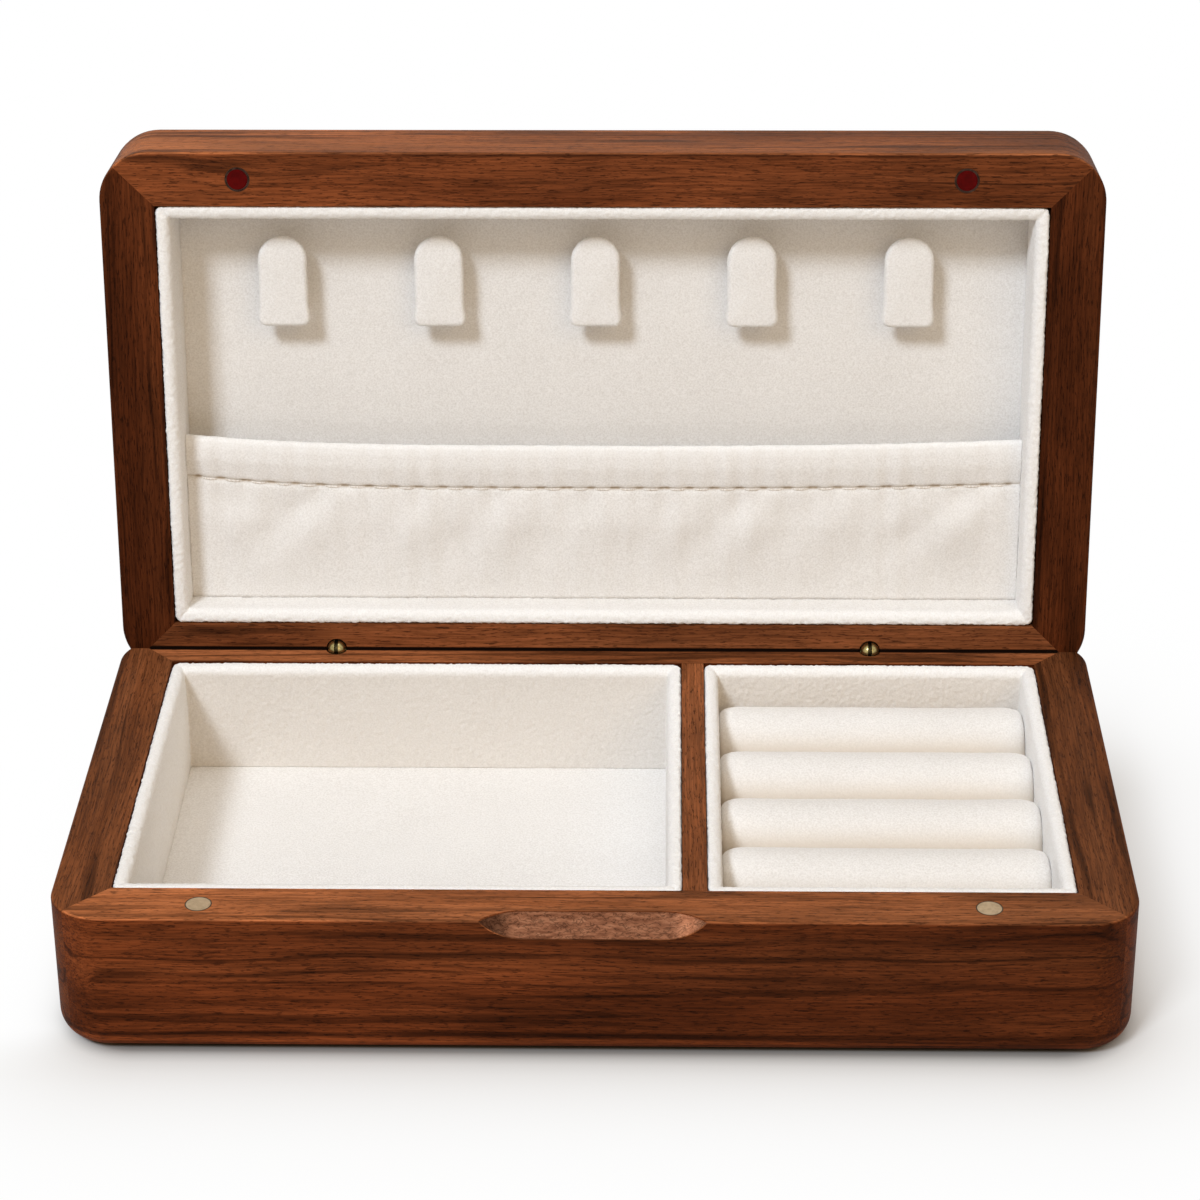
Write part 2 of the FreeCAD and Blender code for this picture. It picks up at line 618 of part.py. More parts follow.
def pocket_section(half_length, y, depth, cloth, swell, lean):
    """Closed outline across the pocket at one height, with its soft folds as arcs.

    The folds swell out and in by turns, and lean sideways as the cloth goes up.
    """
    step = 2 * half_length / POCKET_FOLDS
    stations = [-half_length + step * index for index in range(POCKET_FOLDS + 1)]
    places = [stations[0]] + [station + lean for station in stations[1:-1]] + [stations[-1]]
    edges = []
    for side_depth in (depth, depth + cloth):
        for index in range(POCKET_FOLDS):
            swing = swell if index % 2 else -swell
            start = FreeCAD.Vector(places[index], y, side_depth)
            end = FreeCAD.Vector(places[index + 1], y, side_depth)
            top = (start + end) * 0.5 + FreeCAD.Vector(0, 0, swing)
            edges.append(Part.Arc(start, top, end).toShape())
    for place in (places[0], places[-1]):
        edges.append(Part.makeLine(FreeCAD.Vector(place, y, depth), FreeCAD.Vector(place, y, depth + cloth)))
    return Part.Wire(Part.__sortEdges__(edges))


def make_pocket():
    """Gathered cloth pocket across the lower half of the lid, with a wide folded hem."""
    half_length = value(f"{OPEN_X} - dims.liner_clearance - dims.liner_wall - dims.pocket_side_gap")
    foot = value(f"{LID_OPEN_BACK} - dims.liner_clearance - dims.liner_wall - dims.pocket_side_gap")
    face = value(LID_FACE)
    height = value("dims.pocket_height")
    hem = value("dims.pocket_hem")
    cloth = value("dims.pocket_cloth")
    hem_cloth = value("dims.pocket_hem_cloth")
    swell = value("dims.pocket_fold_swell")
    lean = value("dims.pocket_fold_lean")
    top = foot - height
    seam = top + hem
    levels = [
        (foot, "foot", cloth, swell / 4, -lean),
        ((foot + seam) / 2, "belly", cloth, swell, 0),
        (seam, "seam", cloth, swell / 2, lean),
        ((seam + top) / 2, "hem", hem_cloth, swell / 4, lean),
        (top, "seam", cloth, swell / 4, lean),
    ]
    sections = []
    for y, place, thickness, swing, shift in levels:
        depth = face + value(f"dims.pocket_{place}_depth")
        sections.append(pocket_section(half_length, y, depth, thickness, swing, shift))
    piece = doc.addObject("Part::Feature", "lid_pocket")
    piece.Shape = Part.makeLoft(sections, True, True)
    keep(piece, "lid_pocket", on_lid=True)


def make_lid_magnet(hand, centre):
    """Magnet in a metal cup, flush with the lid's inner face."""
    cup = new_body(f"lid_magnet_cup_{hand}")
    sketch = plan_sketch(cup, LID_FACE)
    circle(sketch, centre, MAGNET_RADIUS)
    pad(cup, sketch, "dims.magnet_thickness")
    hollow = plan_sketch(cup, LID_FACE)
    circle(hollow, centre, f"{MAGNET_RADIUS} - dims.cup_wall")
    pocket(cup, hollow, "dims.magnet_thickness - dims.cup_floor", upward=True)
    keep(cup, f"lid_magnet_cup_{hand}", on_lid=True)
    disc = new_body(f"lid_magnet_{hand}")
    face = plan_sketch(disc, LID_FACE)
    circle(face, centre, f"{MAGNET_RADIUS} - dims.cup_wall - dims.magnet_clearance")
    pad(disc, face, "dims.magnet_thickness - dims.cup_floor")
    keep(disc, f"lid_magnet_{hand}", on_lid=True)


def cross_bore(body, x, y, z, radius):
    """Hole for the hinge pin, through a barrel from side to side."""
    sketch = side_sketch(body, x)
    circle(sketch, (y, z), radius)
    pocket(body, sketch, "dims.barrel_diameter + dims.cut_overrun", symmetric=True)


def make_hinge(hand, x):
    """Barrel hinge: a slotted lower barrel with a domed end, an upper one with a tongue, and a cross pin."""
    pin_radius = "dims.pin_diameter / 2"
    lower = new_body(f"hinge_lower_barrel_{hand}")
    sketch = plan_sketch(lower, f"{PIVOT_Z} - dims.barrel_length")
    circle(sketch, (x, PIVOT_Y), BARREL_RADIUS)
    pad(lower, sketch, "dims.barrel_length + dims.dome_height")
    crown = value(f"{PIVOT_Z} + dims.dome_height")
    fillet(lower, "dims.dome_round", lambda edge: is_level(edge, crown))
    slot = new_sketch(lower, "XZ_Plane", ("0", "0", f"-{PIVOT_Y}"))
    rectangle(slot, f"{x} - dims.slot_width / 2", f"{x} + dims.slot_width / 2",
              f"{PIVOT_Z} - dims.slot_depth", f"{PIVOT_Z} + dims.dome_height + dims.cut_overrun")
    pocket(lower, slot, "dims.barrel_diameter + dims.cut_overrun", symmetric=True)
    cross_bore(lower, x, PIVOT_Y, PIVOT_Z, f"{pin_radius} + dims.pin_press_clearance")
    keep(lower, f"hinge_lower_barrel_{hand}")

    upper = new_body(f"hinge_upper_barrel_{hand}")
    sketch = plan_sketch(upper, "dims.barrel_shoulder")
    circle(sketch, (x, "0"), BARREL_RADIUS)
    pad(upper, sketch, "dims.barrel_length - dims.barrel_shoulder")
    tongue = side_sketch(upper, x)
    arch(tongue, "-dims.tongue_radius", "dims.tongue_radius", "dims.barrel_shoulder", "0", crown_up=False)
    pad(upper, tongue, "dims.tongue_thickness", symmetric=True)
    cross_bore(upper, x, "0", "0", f"{pin_radius} + dims.pin_running_clearance")
    keep(upper, f"hinge_upper_barrel_{hand}", on_lid=True)

    pin = new_body(f"hinge_pin_{hand}")
    sketch = side_sketch(pin, x)
    circle(sketch, (PIVOT_Y, PIVOT_Z), pin_radius)
    pad(pin, sketch, "dims.pin_length", symmetric=True)
    keep(pin, f"hinge_pin_{hand}")


def check_and_write():
    """Stop at any failed feature or empty shape, then write each piece to its own file."""
    doc.recompute()
    for feature in doc.Objects:
        if {"Invalid", "Error"} & set(feature.State):
            raise RuntimeError(f"{feature.Label} failed: {feature.State}")
    for piece in pieces:
        if piece.Shape.isNull() or not piece.Shape.isValid() or len(piece.Shape.Solids) != 1:
            raise RuntimeError(f"{piece.Label} is not one sound solid")
    os.makedirs("parts", exist_ok=True)
    for piece in pieces:
        piece.Shape.exportStep(f"parts/{piece.Label}.step")
    print(len(pieces), "pieces written")


make_base_frame()
make_base_inside()
make_lid_frame()
make_lid_inside()
for hand, sign in HANDS.items():
    make_hinge(hand, f"{sign}{HINGE_X}")
check_and_write()
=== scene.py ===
"""Dress the walnut jewelry box: its finishes, velvet linings, ring rolls, necklace hooks and gathered pocket.

Soft pieces are drawn in millimetres, in the axes of the half of the box that holds them, and take their
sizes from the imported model. Everything else here is in metres.
"""

import json
import logging
import math
from collections.abc import Iterable, Sequence
from dataclasses import dataclass, field
from enum import Enum

import bmesh
import bpy
import numpy as np
from mathutils import Matrix, Vector, noise

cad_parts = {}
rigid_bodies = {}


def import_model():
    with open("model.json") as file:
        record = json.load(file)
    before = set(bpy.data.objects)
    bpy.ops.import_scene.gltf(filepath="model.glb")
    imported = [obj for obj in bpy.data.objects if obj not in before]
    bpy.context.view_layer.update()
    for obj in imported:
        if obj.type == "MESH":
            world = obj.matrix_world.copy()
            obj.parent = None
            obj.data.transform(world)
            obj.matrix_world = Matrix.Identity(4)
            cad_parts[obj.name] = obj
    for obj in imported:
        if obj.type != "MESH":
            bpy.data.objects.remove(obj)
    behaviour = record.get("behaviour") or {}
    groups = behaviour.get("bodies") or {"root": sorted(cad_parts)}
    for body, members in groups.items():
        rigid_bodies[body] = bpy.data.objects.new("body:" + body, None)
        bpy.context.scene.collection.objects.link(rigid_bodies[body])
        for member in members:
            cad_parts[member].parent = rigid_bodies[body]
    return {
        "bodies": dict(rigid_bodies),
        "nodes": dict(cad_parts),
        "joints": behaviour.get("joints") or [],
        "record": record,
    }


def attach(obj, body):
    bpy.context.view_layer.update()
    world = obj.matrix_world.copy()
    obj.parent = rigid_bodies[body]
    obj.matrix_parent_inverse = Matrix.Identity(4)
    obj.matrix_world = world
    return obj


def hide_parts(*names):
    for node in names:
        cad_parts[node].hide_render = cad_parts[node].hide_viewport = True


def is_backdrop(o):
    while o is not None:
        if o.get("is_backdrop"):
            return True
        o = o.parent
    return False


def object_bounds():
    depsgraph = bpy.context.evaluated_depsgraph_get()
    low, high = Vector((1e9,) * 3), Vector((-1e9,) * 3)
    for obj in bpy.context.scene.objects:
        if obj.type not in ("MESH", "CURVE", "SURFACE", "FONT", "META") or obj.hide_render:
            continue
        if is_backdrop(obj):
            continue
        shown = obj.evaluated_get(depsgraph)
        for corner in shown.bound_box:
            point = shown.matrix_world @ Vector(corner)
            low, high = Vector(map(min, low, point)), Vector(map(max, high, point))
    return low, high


LOG = logging.getLogger("jewelry_box")
MM = 0.001
BASE = "base"
LID = "lid"
LINER_SIDES = ("front", "back", "left", "right")
# Layers painted on velvet points: a painted highlight, painted shade along seams, and painted shade in
# creases and on back walls.
PAINTED_LIGHT = "crest"
SEAM_SHADE = "seam"
PAINTED_SHADE = "crease"

Triple = tuple[float, float, float]
Colour = Triple
Limits = tuple[np.ndarray, np.ndarray]
Cover = tuple[np.ndarray, list[tuple[int, ...]]]


class Axes:
    """Axes of one half of the box, in millimetres: across it, along it and out of its opening."""

    def __init__(self, origin: Sequence[float], across: Sequence[float], along: Sequence[float]) -> None:
        """Set the axes.

        Args:
            origin: Where they start, in metres.
            across: Direction across the half.
            along: Direction along the half, at right angles to the first.
        """
        self.origin = np.array(origin, float)
        self.across = np.array(across, float)
        self.along = np.array(along, float)
        self.out = np.cross(self.across, self.along)

    def place(self, points: np.ndarray) -> np.ndarray:
        """Turn points in these axes into the model's metres."""
        basis = np.stack((self.across, self.along, self.out))
        return self.origin + MM * (points @ basis)

    def limits(self, node: bpy.types.Object) -> Limits:
        """Measure a node along these axes.

        Args:
            node: The node to measure.

        Returns:
            Its lowest and its highest corner, in millimetres.
        """
        places = np.array([vertex.co for vertex in node.data.vertices], float) - self.origin
        basis = np.stack((self.across, self.along, self.out))
        local = places @ basis.T / MM
        return local.min(axis=0), local.max(axis=0)


class Model:
    """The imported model, with the axes of its two halves."""

    def __init__(self) -> None:
        """Load the model and find the hinge line and the lid's lean."""
        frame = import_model()
        self.nodes: dict[str, bpy.types.Object] = frame["nodes"]
        self.cad_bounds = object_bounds()
        hinge = frame["joints"][0]
        lean = math.radians(hinge["range_deg"][1] - 90)
        self.base_axes = Axes((0, 0, 0), (1, 0, 0), (0, 1, 0))
        self.lid_axes = Axes(hinge["pos_m"], (1, 0, 0), (0, math.sin(lean), math.cos(lean)))

    def limits(self, axes: Axes, name: str) -> Limits:
        """Lowest and highest corner of a named node along the given axes."""
        return axes.limits(self.nodes[name])


def merged(limits: Iterable[Limits]) -> Limits:
    """Smallest box round several boxes."""
    lows, highs = zip(*limits)
    return np.min(lows, axis=0), np.max(highs, axis=0)


def ease(value: np.ndarray | float, low: float, high: float) -> np.ndarray | float:
    """Smooth step from 0 at low to 1 at high."""
    share = np.clip((value - low) / (high - low), 0.0, 1.0)
    return share * share * (3 - 2 * share)


def bell(value: np.ndarray | float, width: float) -> np.ndarray | float:
    """Bell curve of height 1 about 0."""
    return np.exp(-0.5 * (value / width) ** 2)


def add_object(name: str, points: np.ndarray, faces: list[Sequence[int]]) -> bpy.types.Object:
    """Make a smooth mesh object with its faces turned outward.

    Args:
        name: Name of the piece.
        points: Corners in metres, one per row.
        faces: Corner numbers of each face.

    Returns:
        The new object, linked into the scene.
    """
    mesh = bpy.data.meshes.new(name)
    mesh.from_pydata(points.tolist(), [], faces)
    shape = bmesh.new()
    shape.from_mesh(mesh)
    bmesh.ops.recalc_face_normals(shape, faces=shape.faces)
    shape.to_mesh(mesh)
    shape.free()
    mesh.polygons.foreach_set("use_smooth", [True] * len(mesh.polygons))
    piece = bpy.data.objects.new(name, mesh)
    bpy.context.scene.collection.objects.link(piece)
    return piece


def paint(piece: bpy.types.Object, name: str, strengths: np.ndarray) -> None:
    """Store a number for each point of a piece, for its material to read.

    Args:
        piece: The piece to paint.
        name: Name of the layer.
        strengths: One number for each point, in the order of the points.
    """
    layer = piece.data.attributes.new(name, "FLOAT", "POINT")
    layer.data.foreach_set("value", np.clip(strengths, 0.0, 1.0).astype(np.float32).ravel())


def loft_faces(rings: int, points: int, first: int = 0, closed: bool = False) -> list[Sequence[int]]:
    """Faces of a tube through equal rings, with its ends joined to each other or capped.

    Args:
        rings: Number of rings.
        points: Number of points on each ring.
        first: Number of the first point.
        closed: Whether the last ring joins the first.

    Returns:
        Corner numbers of each face.
    """
    faces: list[Sequence[int]] = []
    for ring in range(rings if closed else rings - 1):
        here = first + ring * points
        there = first + (ring + 1) % rings * points
        for index in range(points):
            following = (index + 1) % points
            faces.append((here + index, here + following, there + following, there + index))
    if not closed:
        faces.append(tuple(range(first, first + points)))
        faces.append(tuple(range(first + (rings - 1) * points, first + rings * points)))
    return faces


def loft(name: str, axes: Axes, rings: np.ndarray, closed: bool = False) -> bpy.types.Object:
    """Make a tube through rings given in the axes of one half."""
    count, points, _ = rings.shape
    return add_object(name, axes.place(rings.reshape(-1, 3)), loft_faces(count, points, closed=closed))


@dataclass(frozen=True)
class Nap:
    """Softness of a velvet surface: slow swells of the padding and small tufts of the pile."""

    swell: float = 0.10
    swell_length: float = 13.0
    tuft: float = 0.07
    tuft_length: float = 0.8

    def ruffle(self, piece: bpy.types.Object) -> None:
        """Move each point of a piece a little along its normal.

        Args:
            piece: The piece to ruffle.
        """
        mesh = piece.data
        for vertex, normal in zip(mesh.vertices, mesh.vertex_normals):
            place = vertex.co / MM
            lift = self.swell * noise.noise(place / self.swell_length)
            lift += self.tuft * noise.noise(place / self.tuft_length)
            vertex.co += normal.vector * lift * MM
        mesh.update()


@dataclass(frozen=True)
class Stuffing:
    """Short cloth simulation that swells a cover as its foam does. Lengths are in millimetres.

    The cover is simulated larger than life, because the solver is made for garments.
    """

    voxel: float = 1.1
    scale: float = 100.0
    pressure: float = 4.0
    frames: int = 20
    cap: float = 0.3
    seat: tuple[float, float] = (0.2, 3.0)

    def swell(self, pattern: bpy.types.Object) -> Cover:
        """Swell a closed cover from a slightly smaller shape, which is used up.

        Args:
            pattern: The cover before it is filled, with its corners in millimetres and its underside at
                height 0.

        Returns:
            Corners of the filled cover in millimetres, and the corner numbers of each face.
        """
        size = self.scale * MM
        pattern.data.transform(Matrix.Scale(size, 4))
        remesh = pattern.modifiers.new("even_mesh", "REMESH")
        remesh.mode = "VOXEL"
        remesh.voxel_size = self.voxel * size
        cover = self.replaced(pattern)
        rest = self.corners(cover.data)
        self.simulate(cover)
        swollen = self.corners(cover.evaluated_get(bpy.context.evaluated_depsgraph_get()).data)
        moves = swollen - rest
        far = np.maximum(np.linalg.norm(moves, axis=1), 1e-9)
        held = ease(rest[:, 2], self.seat[0] * size, self.seat[1] * size)
        filled = rest + moves * (np.minimum(1.0, self.cap * size / far) * held)[:, None]
        cover.modifiers.clear()
        cover.data.vertices.foreach_set("co", filled.astype(np.float32).ravel())
        cover.modifiers.new("finer_mesh", "SUBSURF").levels = 1
        fine = self.replaced(cover)
        points = self.corners(fine.data) / size
        faces = [tuple(face.vertices) for face in fine.data.polygons]
        self.discard(fine)
        return points, faces

    def simulate(self, cover: bpy.types.Object) -> None:
        """Fill a cover with pressure, without gravity, and leave the scene at the last frame of it.

        Args:
            cover: The cover, larger than life.
        """
        cloth = cover.modifiers.new("cover", "CLOTH")
        cloth.settings.use_pressure = True
        cloth.settings.uniform_pressure_force = self.pressure
        cloth.settings.effector_weights.gravity = 0.0
        cloth.point_cache.frame_start = 1
        cloth.point_cache.frame_end = self.frames
        for frame in range(1, self.frames + 1):
            bpy.context.scene.frame_set(frame)

    def replaced(self, piece: bpy.types.Object) -> bpy.types.Object:
        """Put a new object with a piece's modifiers applied in its place.

        Args:
            piece: The piece, which is removed.

        Returns:
            The new object, linked into the scene.
        """
        shown = piece.evaluated_get(bpy.context.evaluated_depsgraph_get())
        fresh = bpy.data.objects.new(piece.name, bpy.data.meshes.new_from_object(shown))
        bpy.context.scene.collection.objects.link(fresh)
        self.discard(piece)
        return fresh

    @staticmethod
    def discard(piece: bpy.types.Object) -> None:
        """Remove a piece and its mesh.

        Args:
            piece: The piece to remove.
        """
        mesh = piece.data
        bpy.data.objects.remove(piece)
        bpy.data.meshes.remove(mesh)

    @staticmethod
    def corners(mesh: bpy.types.Mesh) -> np.ndarray:
        """Read the corners of a mesh.

        Args:
            mesh: The mesh to read.

        Returns:
            Its corners, one per row.
        """
        flat = np.empty(3 * len(mesh.vertices), dtype=np.float32)
        mesh.vertices.foreach_get("co", flat)
        return flat.reshape(-1, 3).astype(float)


class Graph:
    """Nodes of one material, with short names for the kinds that are used here."""

    def __init__(self, name: str) -> None:
        """Start an empty material.

        Args:
            name: Name of the material.
        """
        self.material = bpy.data.materials.new(name)
        self.material.use_nodes = True
        self.tree = self.material.node_tree
        self.tree.nodes.clear()

    def add(self, kind: str, inputs: dict[str | int, object], **settings: object) -> bpy.types.Node:
        """Add a node.

        Args:
            kind: Class name of the node.
            inputs: Value or linked socket for each input, by its name, identifier or number.
            settings: Properties of the node.

        Returns:
            The new node.
        """
        node = self.tree.nodes.new(kind)
        for name, setting in settings.items():
            setattr(node, name, setting)
        for key, source in inputs.items():
            if isinstance(key, int):
                socket = node.inputs[key]
            else:
                socket = next(item for item in node.inputs if key in (item.identifier, item.name))
            if isinstance(source, bpy.types.NodeSocket):
                self.tree.links.new(source, socket)
            else:
                socket.default_value = source
        return node

    def place(self) -> bpy.types.NodeSocket:
        """Place on the piece, in metres."""
        return self.add("ShaderNodeTexCoord", {}).outputs["Object"]

    def facing(self) -> bpy.types.NodeSocket:
        """Direction that the surface faces, in the piece's own axes."""
        return self.add("ShaderNodeTexCoord", {}).outputs["Normal"]

    def painted(self, name: str) -> bpy.types.NodeSocket:
        """Number painted on a piece's points, or 0 where it has none."""
        return self.add("ShaderNodeAttribute", {}, attribute_name=name).outputs["Fac"]

    def dot(self, vector: bpy.types.NodeSocket, direction: Sequence[float]) -> bpy.types.NodeSocket:
        """Length of a vector along a direction."""
        node = self.add("ShaderNodeVectorMath", {0: vector, 1: tuple(direction)}, operation="DOT_PRODUCT")
        return node.outputs["Value"]

    def stretch(self, vector: bpy.types.NodeSocket, scale: Sequence[float]) -> bpy.types.NodeSocket:
        """Vector with each axis scaled."""
        node = self.add("ShaderNodeVectorMath", {0: vector, 1: tuple(scale)}, operation="MULTIPLY")
        return node.outputs["Vector"]

    def shift(self, vector: bpy.types.NodeSocket, other: object) -> bpy.types.NodeSocket:
        """Sum of two vectors."""
        return self.add("ShaderNodeVectorMath", {0: vector, 1: other}, operation="ADD").outputs["Vector"]

    def length(self, vector: bpy.types.NodeSocket) -> bpy.types.NodeSocket:
        """Length of a vector."""
        return self.add("ShaderNodeVectorMath", {0: vector}, operation="LENGTH").outputs["Value"]

    def noise(self, vector: bpy.types.NodeSocket, detail: float = 2.0, rough: float = 0.5,
              scale: float = 1.0) -> bpy.types.NodeSocket:
        """Cloudy value about one half."""
        return self.add("ShaderNodeTexNoise", {"Vector": vector, "Scale": scale, "Detail": detail,
                                               "Roughness": rough}).outputs["Fac"]

    def math(self, operation: str, first: object, second: object) -> bpy.types.NodeSocket:
        """Sum, product or other joining of two values."""
        return self.add("ShaderNodeMath", {0: first, 1: second}, operation=operation).outputs[0]

    def remap(self, value: bpy.types.NodeSocket, start: Sequence[float],
              end: Sequence[float] = (0.0, 1.0)) -> bpy.types.NodeSocket:
        """Smooth map of a value from one range to another."""
        inputs = {"Value": value, "From Min": start[0], "From Max": start[1],
                  "To Min": end[0], "To Max": end[1]}
        return self.add("ShaderNodeMapRange", inputs, interpolation_type="SMOOTHSTEP").outputs["Result"]

    def ramp(self, value: bpy.types.NodeSocket,
             stops: Sequence[tuple[float, Colour]]) -> bpy.types.NodeSocket:
        """Pick a colour along a row of stops.

        Args:
            value: Place along the row, from 0 to 1.
            stops: Place and colour of each stop, in order.

        Returns:
            The colour.
        """
        node = self.add("ShaderNodeValToRGB", {"Fac": value})
        elements = node.color_ramp.elements
        while len(elements) < len(stops):
            elements.new(0.5)
        for element, (position, colour) in zip(elements, stops):
            element.position = position
            element.color = (*colour, 1.0)
        return node.outputs["Color"]

    def grey(self, value: bpy.types.NodeSocket) -> bpy.types.NodeSocket:
        """Grey colour of a value."""
        return self.add("ShaderNodeCombineColor", {0: value, 1: value, 2: value}).outputs[0]

    def mix(self, share: object, first: object, second: object, blend: str = "MIX") -> bpy.types.NodeSocket:
        """Blend two colours.

        Args:
            share: Share of the second colour, from 0 to 1.
            first: The first colour.
            second: The second colour.
            blend: Way in which the second colour acts on the first.

        Returns:
            The blended colour.
        """
        inputs: dict[str | int, object] = {"Factor_Float": share, "A_Color": first, "B_Color": second}
        node = self.add("ShaderNodeMix", inputs, data_type="RGBA", blend_type=blend)
        return next(item for item in node.outputs if item.identifier == "Result_Color")

    def bump(self, height: bpy.types.NodeSocket, distance: float, strength: float) -> bpy.types.NodeSocket:
        """Surface tilt from a height, with the distance in metres."""
        inputs = {"Height": height, "Distance": distance, "Strength": strength}
        return self.add("ShaderNodeBump", inputs).outputs["Normal"]

    def surface(self, inputs: dict[str | int, object]) -> bpy.types.Material:
        """Finish the material with a principled surface.

        Args:
            inputs: Value or linked socket for each input of the surface.

        Returns:
            The material.
        """
        shader = self.add("ShaderNodeBsdfPrincipled", inputs)
        self.add("ShaderNodeOutputMaterial", {"Surface": shader.outputs["BSDF"]})
        return self.material


class Grain(Enum):
    """Way that a board's grain runs."""

    WIDTH = "along the width"
    LENGTH = "along the length of its half"


@dataclass(frozen=True)
class Scoop:
    """Hand-carved hollow in a board's upper front edge, which shows mottled wood. In millimetres."""

    half_width: float
    front: float
    back: float
    foot: float
    top: float


@dataclass(frozen=True)
class Board:
    """One walnut board: its node, the run of its grain, its tones and where it was cut from the plank.

    The run gives the tones at the board's two ends, pale is the least share of the paler palette, which is a
    painted highlight, and a board at the hinge line has painted shade and dust along its joint there.
    """

    node: str
    grain: Grain
    side_tone: float
    lit_top_tone: float
    cut: float
    run: tuple[float, float] = (1.0, 1.0)
    pale: float = 0.0
    joint: bool = False
    scoop: Scoop | None = None


@dataclass(frozen=True)
class Walnut:
    """Satin walnut with streaks, growth lines, fine fibres and open pores. Lengths are in millimetres."""

    side: tuple[Colour, ...] = (
        (0.0690, 0.0158, 0.0041),
        (0.0985, 0.0233, 0.0063),
        (0.1280, 0.0321, 0.0092),
        (0.1700, 0.0466, 0.0141),
    )
    # Paler copy of the side palette: a painted highlight for faces that lie level.
    top: tuple[Colour, ...] = (
        (0.186, 0.0562, 0.018),
        (0.240, 0.0761, 0.0259),
        (0.300, 0.0998, 0.036),
        (0.372, 0.1310, 0.0497),
    )
    carved: tuple[Colour, ...] = (
        (0.140, 0.052, 0.026),
        (0.240, 0.097, 0.050),
        (0.335, 0.148, 0.080),
    )
    joint_shade_and_dust: Colour = (0.006, 0.0025, 0.0012)
    stops: tuple[float, ...] = (0.28, 0.43, 0.55, 0.72)
    carved_stops: tuple[float, ...] = (0.33, 0.5, 0.67)
    fibre_tone: tuple[float, float] = (0.56, 1.50)
    pore_start: tuple[float, float] = (0.55, 0.65)
    gloss: tuple[float, float] = (0.46, 0.62)
    grain_depth: float = 0.06
    line_ink: float = 0.54
    pore_ink: float = 0.58
    cloud: float = 0.26
    edge_highlight_and_wear: float = 0.32
    foot_shade_line: float = 0.34
    foot_bounce_light: float = 1.0
    joint_width: float = 0.5
    streak_size: Triple = (230.0, 10.0, 10.0)
    line_size: Triple = (260.0, 4.6, 4.6)
    patch_size: Triple = (55.0, 9.0, 9.0)
    fibre_size: Triple = (13.0, 0.45, 0.45)
    pore_size: Triple = (2.4, 0.26, 0.26)
    cloud_size: Triple = (60.0, 13.0, 13.0)
    drift_size: Triple = (85.0, 20.0, 20.0)
    drift: float = 5.0
    specular: float = 0.03

    def material(self, board: Board, axes: Axes, hinge: np.ndarray) -> bpy.types.Material:
        """Make the material of one board.

        Args:
            board: The board to finish.
            axes: Axes of the half of the box that the board is in.
            hinge: A place on the hinge line, in metres.

        Returns:
            A material whose grain runs along the board.
        """
        graph = Graph(f"walnut_{board.node}")
        plank = self.plank_place(graph, board, axes)
        sway = graph.noise(self.sized(graph, plank, self.drift_size), 2.0, 0.5)
        sideways = graph.add("ShaderNodeCombineXYZ", {"Y": sway, "Z": sway}).outputs[0]
        wavy = graph.shift(plank, graph.stretch(sideways, (0.0, self.drift, self.drift)))
        fibre = graph.noise(self.sized(graph, wavy, self.fibre_size), 3.0, 0.62)
        pores = graph.remap(graph.noise(self.sized(graph, wavy, self.pore_size), 2.0, 0.6), self.pore_start)
        colour = self.streaked(graph, board, wavy)
        colour = graph.mix(1.0, colour, self.run_tone(graph, board, axes), "MULTIPLY")
        clouds = graph.noise(self.sized(graph, wavy, self.cloud_size), 2.0, 0.5)
        clouded = graph.grey(graph.remap(clouds, (0.30, 0.70), (1 - self.cloud, 1 + self.cloud)))
        colour = graph.mix(1.0, colour, clouded, "MULTIPLY")
        fibrous = graph.grey(graph.remap(fibre, (0.22, 0.78), self.fibre_tone))
        colour = graph.mix(1.0, colour, fibrous, "MULTIPLY")
        shade = graph.grey(graph.remap(self.growth_lines(graph, wavy), (0.0, 1.0), (1.0, 1 - self.line_ink)))
        colour = graph.mix(1.0, colour, shade, "MULTIPLY")
        flecks = graph.grey(graph.remap(pores, (0.0, 1.0), (1.0, 1 - self.pore_ink)))
        colour = graph.mix(1.0, colour, flecks, "MULTIPLY")
        # Painted highlight on the eased edges, together with paler rubbed wood there.
        highlight_and_wear = graph.grey(graph.remap(self.eased_edge(graph, axes), (0.0, 1.0), (1.0, 1 + self.edge_highlight_and_wear)))
        colour = graph.mix(1.0, colour, highlight_and_wear, "MULTIPLY")
        # Painted shade line and painted bounce light on the outer round.
        colour = graph.mix(1.0, colour, self.foot_shading(graph, axes), "MULTIPLY")
        # Painted shade of the hinge gap, with dust, along the joint.
        if board.joint:
            colour = graph.mix(self.joint_shade_mask(graph, hinge), colour, (*self.joint_shade_and_dust, 1.0))
        if board.scoop is not None:
            colour = graph.mix(self.scoop_mask(graph, board.scoop), colour, self.carved_wood(graph))
        relief = graph.math("SUBTRACT", graph.math("MULTIPLY", fibre, 0.6), pores)
        return graph.surface({"Base Color": colour, "Specular IOR Level": self.specular,
                              "Roughness": graph.remap(fibre, (0.2, 0.8), self.gloss),
                              "Normal": graph.bump(relief, self.grain_depth * MM, 0.6)})

    def streaked(self, graph: Graph, board: Board, place: bpy.types.NodeSocket) -> bpy.types.NodeSocket:
        """Streaky colour of the board, with a painted highlight that makes the faces that lie level paler.

        Args:
            graph: The material's nodes.
            board: The board to finish.
            place: Place in the plank, in millimetres.

        Returns:
            The colour.
        """
        streak = graph.noise(self.sized(graph, place, self.streak_size), 4.0, 0.6)
        colours = []
        for palette, tone in ((self.side, board.side_tone), (self.top, board.lit_top_tone)):
            toned = [tuple(tone * part for part in colour) for colour in palette]
            colours.append(graph.ramp(streak, list(zip(self.stops, toned))))
